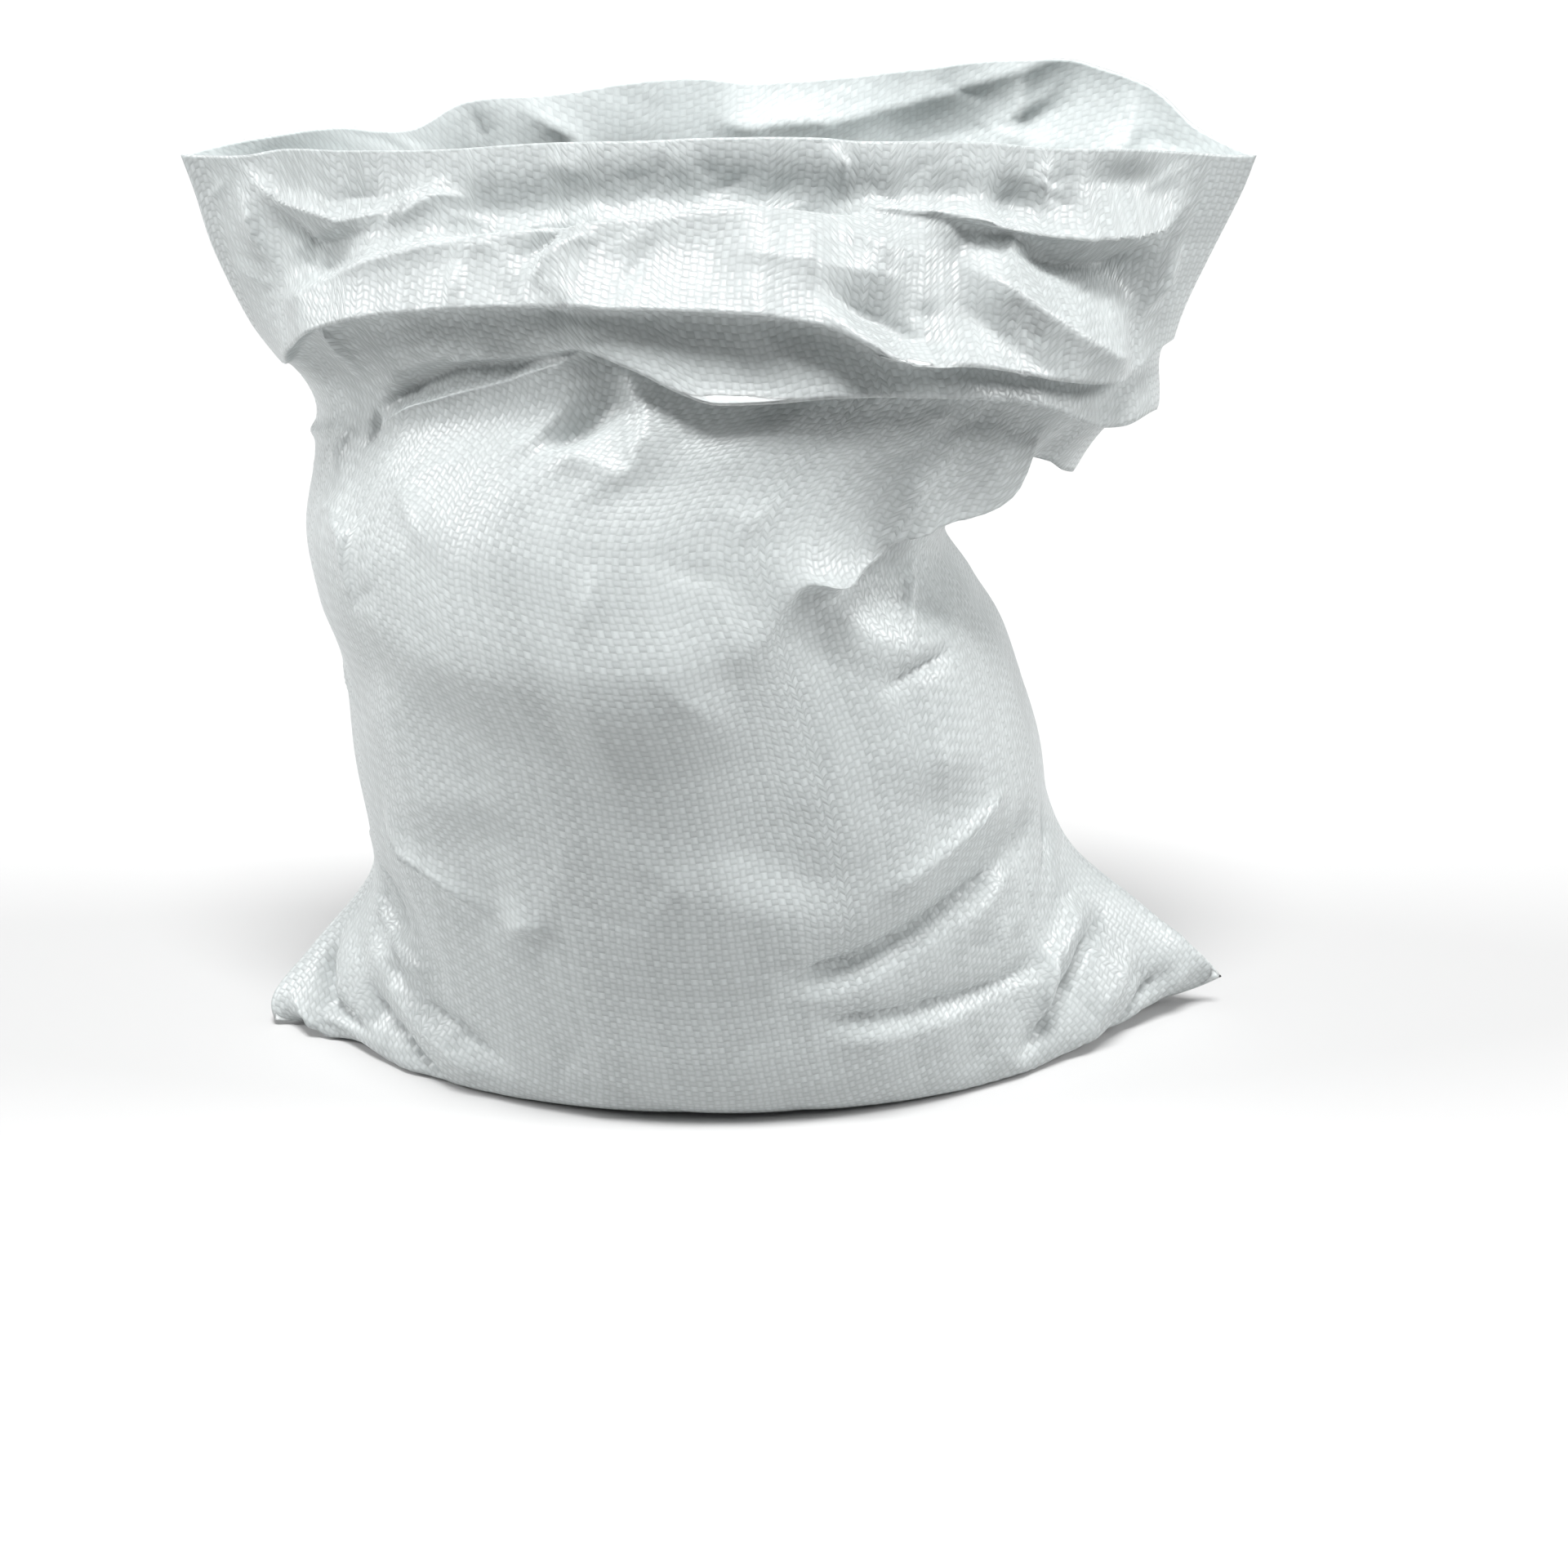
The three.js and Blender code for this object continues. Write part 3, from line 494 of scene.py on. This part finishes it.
# Rows of the mesh: between two marks, so many rows. A mark is a fold and a distance above it.
ROW_SPANS = [
    (None, ("neck", -16), 120), (("neck", -16), ("neck", -4), 10), (("neck", -4), ("neck", 0), 6),
    (("neck", 0), ("neck", 8), 8), (("neck", 8), ("second", -8), 34),
    (("second", -8), ("second", 0), 12), (("second", 0), ("second", 8), 8),
    (("second", 8), ("first", -6), 6), (("first", -6), ("first", 0), 8),
    (("first", 0), ("first", 9), 9), (("first", 9), None, 50),
]


def mesh_rows(around):
    """The height of every row of the mesh at each place around."""
    def mark(name, default):
        if name is None:
            return np.full(around.shape, default)
        fold, step = name
        return around_girth(FOLDS[fold]["line"], around) + step

    rows = [mark(None, 0.0)]
    for start, end, count in ROW_SPANS:
        low, high = mark(start, 0.0), mark(end, RIM_UP)
        rows += [low + (high - low) * (k + 1) / count for k in range(count)]
    return np.array(rows)


UV_UNIT = 100.0  # millimetres of cloth to one unit of its UV map
WELD_WITHIN = 1e-5  # metres


def grid_object(name, points, around):
    """A tube of quads through rows of points, with the place on the flat cloth as its UV map."""
    rows, columns = points.shape[:2]
    j, i = np.meshgrid(np.arange(rows - 1), np.arange(columns), indexing="ij")
    nxt = (i + 1) % columns
    faces = np.stack([j * columns + i, j * columns + nxt, (j + 1) * columns + nxt,
                      (j + 1) * columns + i], -1).reshape(-1, 4)
    mesh = bpy.data.meshes.new(name)
    shift = np.array(CENTRE)
    mesh.from_pydata(((points.reshape(-1, 3) + shift) * MM).tolist(), [], faces.tolist())
    steps = np.linalg.norm(np.diff(points, axis=0), axis=-1)
    length = np.concatenate([np.zeros((1, columns)), np.cumsum(steps, 0)], 0)
    u = np.broadcast_to(around, (rows, columns))[j, i]
    next_u = u + GIRTH / columns
    corner_u = np.stack([u, next_u, next_u, u], -1)
    corner_v = np.stack([length[j, i], length[j, nxt], length[j + 1, nxt], length[j + 1, i]], -1)
    layer = mesh.uv_layers.new(name="cloth")
    uv = np.stack([corner_u, corner_v], -1).reshape(-1) / UV_UNIT
    layer.data.foreach_set("uv", uv.astype(np.float32))
    obj = bpy.data.objects.new(name, mesh)
    bpy.context.scene.collection.objects.link(obj)
    for polygon in mesh.polygons:
        polygon.use_smooth = True
    return obj


def make_sack():
    """The cloth, sewn shut along the bottom, and the points of its outside."""
    around = np.arange(COLUMNS) * GIRTH / COLUMNS
    rows = mesh_rows(around)
    arounds = np.broadcast_to(around, rows.shape)
    points = cloth_points(arounds, rows)
    sack = grid_object("sack_cloth", points, around)
    weld = bmesh.new()
    weld.from_mesh(sack.data)
    weld.verts.ensure_lookup_table()
    bmesh.ops.remove_doubles(weld, verts=weld.verts[:COLUMNS], dist=WELD_WITHIN)
    weld.to_mesh(sack.data)
    weld.free()
    solid = sack.modifiers.new("thickness", "SOLIDIFY")
    solid.thickness = CLOTH_THICKNESS * MM
    solid.offset = -1
    solid.material_offset = 1
    return sack, points.reshape(-1, 3)


# ---------------------------------------------------------------- the peanuts
FILL_UP = 262.0  # how far up the cloth the peanuts reach
CORE_SHRINK = 0.93  # the core stays this share of the way out to the cloth
DRAW_STEPS = (-18.0, -9.0, 0.0, 9.0, 18.0)  # up the cloth, where its inside is looked at
HEAP_CROWN = 9.0  # how much the middle of the heap stands above its edge
CORE_SUNK = 7.0  # how far the core's top lies below the heap's
CORE_FROM = 30.0  # up the cloth, where the core starts
CORE_LOW = 4.0  # the core's underside lies no lower than this
CORE_ROWS = 24
CORE_COLUMNS = 120
CORE_TOP = (0.85, 0.7, 0.55, 0.4, 0.25, 0.12)  # its top's rings, as shares of the way out
KERNEL = (13.5, 9.5, 8.5)  # length, width and depth of one shelled peanut
KERNEL_ROWS = 8  # of its mesh
KERNEL_COLUMNS = 10
KERNEL_BLUNT = 0.9  # the lower, the blunter both its ends
KERNEL_TAPER = 0.13  # thinner at its tip by this share, and thicker at its other end
KERNEL_GROOVE = 0.05  # narrower by this share along its two sides
KERNEL_TIP = (1.06, 0.0, 0.05)  # where it ends, as shares of half its length, width and depth
SPLIT_FACE = -0.08  # where a half is cut flat, as a share of half its depth
KERNEL_SIZES = (0.86, 1.1)  # least and most, as shares of that
KERNEL_SHAPES = (0.94, 1.06)  # and then of each of the three
KERNEL_TILT = 0.6  # radians from level, most either way
KERNEL_LIFT = 0.25  # of its depth, from the core up to the middle of a kernel that lies on it
KERNEL_SEED = 5
KERNEL_TRIES = 1500
KERNEL_TOUCH = 9.4  # middles of two kernels that touch are about this far apart
KERNEL_PILE = 11.0  # the highest that a kernel's middle lies above the core
KERNEL_REACH = 0.96  # the outermost kernels fall this share of the way out to the cloth
KERNEL_CLEAR = 7.6  # least distance from a kernel's middle to the cloth
CLEAR_BAND = 45.0  # only cloth this far above or below the heap is near enough to matter
SPLIT_SHARE = 0.06  # of the kernels have lost their skin and fallen in half


def inner_ring(around, up):
    """A ring of the smooth sack, drawn in wherever the dressed cloth nearby lies further in."""
    ring = smooth_points(around, np.full(around.shape, up))
    middle = ring.mean(0)
    spread = np.hypot(ring[:, 0] - middle[0], ring[:, 1] - middle[1])
    share = np.ones(around.shape)
    for step in DRAW_STEPS:
        nearby = np.full(around.shape, up + step)
        inward = smooth_points(around, nearby) - cloth_points(around, nearby)
        inward = (inward * (ring - middle))[:, :2].sum(1) / spread
        share = np.minimum(share, 1 - inward / spread)
    return middle + (ring - middle) * share[:, None]


HEAP_STEP = 4.0  # around
HEAP_AROUND = np.arange(0, GIRTH, HEAP_STEP)
HEAP_RING = inner_ring(HEAP_AROUND, FILL_UP)


def heap_edge(around):
    """Points of the heap's edge, and the edge's middle."""
    ring = np.stack([np.interp(around, HEAP_AROUND, HEAP_RING[:, k], period=GIRTH)
                     for k in range(3)], -1)
    return ring, HEAP_RING.mean(0)


def heap_top(around, share):
    """The top of the core, from its middle (share 0) to its edge (share 1)."""
    ring, middle = heap_edge(around)
    share = np.asarray(share)[..., None]
    points = middle + (ring - middle) * share
    points[..., 2] += HEAP_CROWN * (1 - share[..., 0] ** 2) - CORE_SUNK
    return points


def make_core():
    """What is under the kernels that show, from near the floor up."""
    around = np.arange(CORE_COLUMNS) * GIRTH / CORE_COLUMNS
    rows = []
    for up in np.linspace(CORE_FROM, FILL_UP - CORE_SUNK, CORE_ROWS):
        ring = inner_ring(around, up)
        middle = ring.mean(0)
        rows.append(middle + (ring - middle) * CORE_SHRINK)
    rows += [heap_top(around, np.full(CORE_COLUMNS, share)) for share in CORE_TOP]
    points = np.concatenate(rows)
    points[:, 2] = np.maximum(points[:, 2], CORE_LOW)
    count = CORE_COLUMNS
    faces = [(j * count + i, j * count + (i + 1) % count, (j + 1) * count + (i + 1) % count,
              (j + 1) * count + i) for j in range(len(rows) - 1) for i in range(count)]
    faces.append(tuple(reversed(range(count))))
    faces.append(tuple(range((len(rows) - 1) * count, len(rows) * count)))
    return mesh_object("peanut_core", points, faces)


def mesh_object(name, points, faces):
    mesh = bpy.data.meshes.new(name)
    mesh.from_pydata(((points + np.array(CENTRE)) * MM).tolist(), [], faces)
    for polygon in mesh.polygons:
        polygon.use_smooth = True
    obj = bpy.data.objects.new(name, mesh)
    bpy.context.scene.collection.objects.link(obj)
    return obj


def kernel_shape(half):
    """A unit kernel along X: a blunt egg with a small tip, or its half with a flat face."""
    rows, columns = KERNEL_ROWS, KERNEL_COLUMNS
    points, faces = [(-1.0, 0.0, 0.0)], []
    for j in range(1, rows):
        angle = math.pi * j / rows
        x, girth = -math.cos(angle), math.sin(angle) ** KERNEL_BLUNT
        for i in range(columns):
            turn = 2 * math.pi * i / columns
            swell = girth * (1 - KERNEL_TAPER * x) * (1 - KERNEL_GROOVE * math.cos(turn) ** 8)
            z = swell * math.sin(turn)
            points.append((x, swell * math.cos(turn), max(z, SPLIT_FACE) if half else z))
    points.append(KERNEL_TIP)
    for i in range(columns):
        faces.append((0, 1 + (i + 1) % columns, 1 + i))
        for j in range(rows - 2):
            low, high = 1 + j * columns, 1 + (j + 1) * columns
            faces.append((low + i, low + (i + 1) % columns, high + (i + 1) % columns, high + i))
        last = 1 + (rows - 2) * columns
        faces.append((last + i, last + (i + 1) % columns, len(points) - 1))
    return np.array(points), faces


def drop_kernels(random):
    """Where each kernel comes to lie, dropped one after another on the core and each other."""
    settled = np.zeros((0, 3))
    for _ in range(KERNEL_TRIES):
        around, share = random.uniform(0, GIRTH), math.sqrt(random.uniform(0, 1)) * KERNEL_REACH
        place = heap_top(np.array([around]), np.array([share]))[0]
        core = place[2]
        place[2] += KERNEL[2] * KERNEL_LIFT
        if len(settled):
            off = np.hypot(settled[:, 0] - place[0], settled[:, 1] - place[1])
            under = off < KERNEL_TOUCH
            if under.any():
                rest = settled[under, 2] + np.sqrt(KERNEL_TOUCH**2 - off[under] ** 2)
                place[2] = max(place[2], rest.max())
        if place[2] - core < KERNEL_PILE:
            settled = np.vstack([settled, place])
    return settled


def clear_of(cloth, places):
    """Which places lie clear of the cloth."""
    cloth = cloth[np.abs(cloth[:, 2] - places[:, 2].mean()) < CLEAR_BAND]
    return np.array([((cloth - place) ** 2).sum(1).min() > KERNEL_CLEAR**2 for place in places])


def turned(random, points):
    """A kernel's points, rolled and turned any way, and tilted a little."""
    yaw, roll = random.uniform(0, 2 * math.pi, 2)
    pitch = random.uniform(-KERNEL_TILT, KERNEL_TILT)
    for angle, (a, b) in ((roll, (1, 2)), (pitch, (0, 2)), (yaw, (0, 1))):
        c, s = math.cos(angle), math.sin(angle)
        points = points.copy()
        points[:, a], points[:, b] = (points[:, a] * c - points[:, b] * s,
                                      points[:, a] * s + points[:, b] * c)
    return points


def make_kernels(cloth):
    """The whole kernels and the split ones, as two pieces."""
    random = np.random.default_rng(KERNEL_SEED)
    places = drop_kernels(random)
    places = places[clear_of(cloth, places)]
    is_split = random.uniform(size=len(places)) < SPLIT_SHARE
    made = []
    for name, chosen, half in (("peanut_kernels", ~is_split, False),
                               ("split_kernels", is_split, True)):
        shape, faces = kernel_shape(half)
        all_points, all_faces, tones = [], [], []
        for k, place in enumerate(places[chosen]):
            size = np.array(KERNEL) / 2 * random.uniform(*KERNEL_SIZES)
            size = size * random.uniform(*KERNEL_SHAPES, 3)
            points = turned(random, shape * size) + place
            all_points.append(points)
            all_faces += [tuple(v + k * len(shape) for v in face) for face in faces]
            tones += [random.uniform()] * sum(len(face) for face in faces)
        obj = mesh_object(name, np.concatenate(all_points), all_faces)
        layer = obj.data.uv_layers.new(name="tone")
        layer.data.foreach_set("uv", np.repeat(np.array(tones, np.float32), 2))
        made.append(obj)
    return made


# ---------------------------------------------------------------- materials
def node(tree, kind, inputs=(), **settings):
    """A new node: its inputs, by name or number, are values or other nodes' outputs."""
    made = tree.nodes.new(kind)
    for key, value in settings.items():
        setattr(made, key, value)
    for key, value in dict(inputs).items():
        if hasattr(value, "is_output"):
            tree.links.new(value, made.inputs[key])
        else:
            made.inputs[key].default_value = value
    return made


def maths(tree, operation, a, b=0.0, c=0.0):
    made = node(tree, "ShaderNodeMath", {0: a, 1: b, 2: c}, operation=operation)
    return made.outputs[0]


def blank_material(name):
    """A material with nothing but a Principled shader."""
    material = bpy.data.materials.new(name)
    material.use_nodes = True
    tree = material.node_tree
    tree.nodes.clear()
    output = tree.nodes.new("ShaderNodeOutputMaterial")
    shader = tree.nodes.new("ShaderNodeBsdfPrincipled")
    tree.links.new(shader.outputs[0], output.inputs[0])
    return material, tree, shader


def ranged(tree, value, low, high, at_low, at_high):
    """A value brought from one range to another, smoothly."""
    made = node(tree, "ShaderNodeMapRange", {0: value, 1: low, 2: high, 3: at_low, 4: at_high},
                interpolation_type="SMOOTHSTEP")
    return made.outputs[0]


TAPE = 2.54  # mm, from one tape of the weave to the next
TAPE_COLOUR = (0.91, 0.965, 0.965)
# The cloth's two sides: how light they are, and how high the weave stands, in metres. The inside
# is painted lighter: painted light that stands in for daylight coming through the cloth from behind
# it.
OUTSIDE = (0.37, 0.0001)
INSIDE = (0.66, 0.00004)
CLOTH_GLOW = 0.7  # the share of light that goes through the cloth and comes out nearby
CLOTH_GLOW_REACH = 0.001  # metres


def woven_cloth(name, base, relief):
    """Flat tapes, plain woven: each shows a run over its neighbour, then dips under the next."""
    material, tree, shader = blank_material(name)
    uv = node(tree, "ShaderNodeUVMap", uv_map="cloth")
    split = node(tree, "ShaderNodeSeparateXYZ", {0: uv.outputs[0]})
    sway = node(tree, "ShaderNodeTexNoise", {"Vector": uv.outputs[0], "Scale": 4.0, "Detail": 2.0})
    shift = node(tree, "ShaderNodeSeparateXYZ", {0: sway.outputs[1]})
    u = maths(tree, "MULTIPLY_ADD", split.outputs[0], UV_UNIT / TAPE, shift.outputs[0])
    v = maths(tree, "MULTIPLY_ADD", split.outputs[1], UV_UNIT / TAPE, shift.outputs[1])
    cell_u, cell_v = maths(tree, "FLOOR", u), maths(tree, "FLOOR", v)
    parity = maths(tree, "PINGPONG", maths(tree, "ADD", cell_u, cell_v), 1.0)
    in_u = maths(tree, "ABSOLUTE", maths(tree, "SUBTRACT", maths(tree, "FRACT", u), 0.5))
    in_v = maths(tree, "ABSOLUTE", maths(tree, "SUBTRACT", maths(tree, "FRACT", v), 0.5))
    across = node(tree, "ShaderNodeMix", {0: parity, 2: in_u, 3: in_v}).outputs[0]
    along = node(tree, "ShaderNodeMix", {0: parity, 2: in_v, 3: in_u}).outputs[0]
    edge = ranged(tree, across, 0.25, 0.5, 1.0, 0.7)
    crown = ranged(tree, along, 0.05, 0.5, 1.0, 0.1)
    weave = maths(tree, "MULTIPLY", edge, crown)
    tape_u = node(tree, "ShaderNodeTexWhiteNoise", {"W": cell_u}, noise_dimensions="1D")
    tape_v = node(tree, "ShaderNodeTexWhiteNoise", {"W": cell_v}, noise_dimensions="1D")
    tape = node(tree, "ShaderNodeMix", {0: parity, 2: tape_u.outputs[0], 3: tape_v.outputs[0]})
    stain = node(tree, "ShaderNodeTexNoise", {"Vector": uv.outputs[0], "Scale": 2.2, "Detail": 4.0})
    # How light the cloth is: by tape and by large soft stains, with painted sheen that makes one
    # direction of tape lighter than the other, and painted shade and highlight from the weave,
    # darker where a tape dips under and lighter on its crown.
    light = ranged(tree, tape.outputs[0], 0.0, 1.0, -0.025, 0.025)
    # painted sheen: tapes of one direction are lighter than those of the other
    light = maths(tree, "MULTIPLY_ADD", parity, 0.05, light)
    # painted shade where a tape dips under the next, painted highlight on its crown
    light = maths(tree, "MULTIPLY_ADD", weave, 0.08, light)
    light = maths(tree, "MULTIPLY_ADD", stain.outputs[0], 0.08, light)
    light = maths(tree, "ADD", light, base)
    colour = node(tree, "ShaderNodeVectorMath", {0: TAPE_COLOUR, 3: light}, operation="SCALE")
    tree.links.new(colour.outputs[0], shader.inputs["Base Color"])
    rough = ranged(tree, weave, 0.0, 1.0, 0.6, 0.34)
    tree.links.new(rough, shader.inputs["Roughness"])
    bump = node(tree, "ShaderNodeBump", {"Strength": 1.0, "Distance": relief, "Height": weave})
    tree.links.new(bump.outputs[0], shader.inputs["Normal"])
    shader.inputs["Subsurface Weight"].default_value = CLOTH_GLOW
    shader.inputs["Subsurface Radius"].default_value = (1.0, 1.0, 1.0)
    shader.inputs["Subsurface Scale"].default_value = CLOTH_GLOW_REACH
    return material


# Darkest and lightest tone, and the veins.
BROWN_SKIN = ((0.085, 0.022, 0.011), (0.30, 0.115, 0.055), (0.045, 0.012, 0.008))
CREAM_FLESH = ((0.60, 0.44, 0.26), (0.82, 0.68, 0.47), (0.50, 0.33, 0.18))


def peanut_skin(name, dark, light, vein):
    """Thin skin in a tone of its own on each kernel, with fine veins along it."""
    material, tree, shader = blank_material(name)
    tone = node(tree, "ShaderNodeUVMap", uv_map="tone")
    own = node(tree, "ShaderNodeSeparateXYZ", {0: tone.outputs[0]}).outputs[0]
    place = node(tree, "ShaderNodeTexCoord").outputs["Object"]
    blotch = node(tree, "ShaderNodeTexNoise", {"Vector": place, "Scale": 240.0, "Detail": 3.0})
    # From dark to light by the kernel's own tone and by blotches, then the veins over both.
    mixed = maths(tree, "MULTIPLY_ADD", blotch.outputs[0], 0.7, own)
    mixed = ranged(tree, mixed, 0.25, 1.4, 0.0, 1.0)
    skin = node(tree, "ShaderNodeMix", {0: mixed, 6: (*dark, 1), 7: (*light, 1)}, data_type="RGBA")
    veins = node(tree, "ShaderNodeTexNoise", {"Vector": place, "Scale": 900.0, "Detail": 4.0,
                                              "Distortion": 1.5})
    share = ranged(tree, veins.outputs[0], 0.5, 0.68, 0.0, 0.55)
    colour = node(tree, "ShaderNodeMix", {0: share, 6: skin.outputs[2], 7: (*vein, 1)},
                  data_type="RGBA")
    tree.links.new(colour.outputs[2], shader.inputs["Base Color"])
    rough = ranged(tree, veins.outputs[0], 0.3, 0.7, 0.42, 0.62)
    tree.links.new(rough, shader.inputs["Roughness"])
    bump = node(tree, "ShaderNodeBump", {"Strength": 0.5, "Distance": 0.0003,
                                         "Height": veins.outputs[0]})
    tree.links.new(bump.outputs[0], shader.inputs["Normal"])
    return material


# ---------------------------------------------------------------- room, light and camera
EYE = (20.2, -1086.0, 536.0)  # millimetres, from the cloth's own zero
LOOK_DOWN = 22.0  # degrees
SENSOR = 36.0  # millimetres
FRAME_PIXELS = 1920.0
FOCAL_PIXELS = 3730.0  # fitted to the photo
FOCAL = FOCAL_PIXELS / FRAME_PIXELS * SENSOR
FLOOR_HALF = 6.0  # metres
FLOOR_GREY = 0.52
FLOOR_ROUGHNESS = 0.8
WORLD_COLOUR = (0.97, 0.985, 1.0, 1)
WORLD_STRENGTH = 0.08
# Wide softboxes, far off: name, direction in which each stands, strength, and width in degrees.
SUNS = [
    ("left", (-1.0, -0.1, 0.55), 2.3, 25),
    ("right", (1.0, -0.1, 0.55), 2.3, 25),
    ("top", (0.0, -0.3, 1.0), 4.2, 22),
]


def add_floor():
    mesh = bpy.data.meshes.new("floor")
    corners = [(x * FLOOR_HALF, y * FLOOR_HALF, 0) for x, y in ((-1, -1), (1, -1), (1, 1), (-1, 1))]
    mesh.from_pydata(corners, [], [(0, 1, 2, 3)])
    floor = bpy.data.objects.new("floor", mesh)
    bpy.context.scene.collection.objects.link(floor)
    material, tree, shader = blank_material("floor_white")
    shader.inputs["Base Color"].default_value = (FLOOR_GREY, FLOOR_GREY, FLOOR_GREY, 1)
    shader.inputs["Roughness"].default_value = FLOOR_ROUGHNESS
    mesh.materials.append(material)


def add_sun(name, direction, strength, width):
    data = bpy.data.lights.new(name, "SUN")
    data.energy = strength
    data.angle = math.radians(width)
    light = bpy.data.objects.new(name, data)
    light.rotation_euler = Vector(direction).to_track_quat("Z", "Y").to_euler()
    bpy.context.scene.collection.objects.link(light)


def add_lights():
    world = bpy.data.worlds.new("studio")
    world.use_nodes = True
    background = world.node_tree.nodes["Background"]
    background.inputs[0].default_value = WORLD_COLOUR
    background.inputs[1].default_value = WORLD_STRENGTH
    bpy.context.scene.world = world
    for sun in SUNS:
        add_sun(*sun)
    bpy.context.scene.view_settings.view_transform = "Standard"


def add_camera():
    data = bpy.data.cameras.new("camera")
    data.sensor_width = SENSOR
    data.lens = FOCAL
    camera = bpy.data.objects.new("camera", data)
    camera.location = [(a + b) * MM for a, b in zip(EYE, CENTRE)]
    camera.rotation_euler = (math.radians(90 - LOOK_DOWN), 0, 0)
    bpy.context.scene.collection.objects.link(camera)
    bpy.context.scene.camera = camera


# ---------------------------------------------------------------- the scene
add_camera()
add_lights()
add_floor()
sack, cloth = make_sack()
sack.data.materials.append(woven_cloth("woven_cloth", *OUTSIDE))
# the inside's material is painted lighter, as painted light for daylight coming through the cloth
sack.data.materials.append(woven_cloth("woven_cloth_inside", *INSIDE))
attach(sack, "root")
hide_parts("sack")

brown = peanut_skin("peanut_skin", *BROWN_SKIN)
cream = peanut_skin("peanut_flesh", *CREAM_FLESH)
kernels, halves = make_kernels(cloth)
for piece, material in ((make_core(), brown), (kernels, brown), (halves, cream)):
    piece.data.materials.append(material)
    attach(piece, "root")
    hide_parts("peanuts")
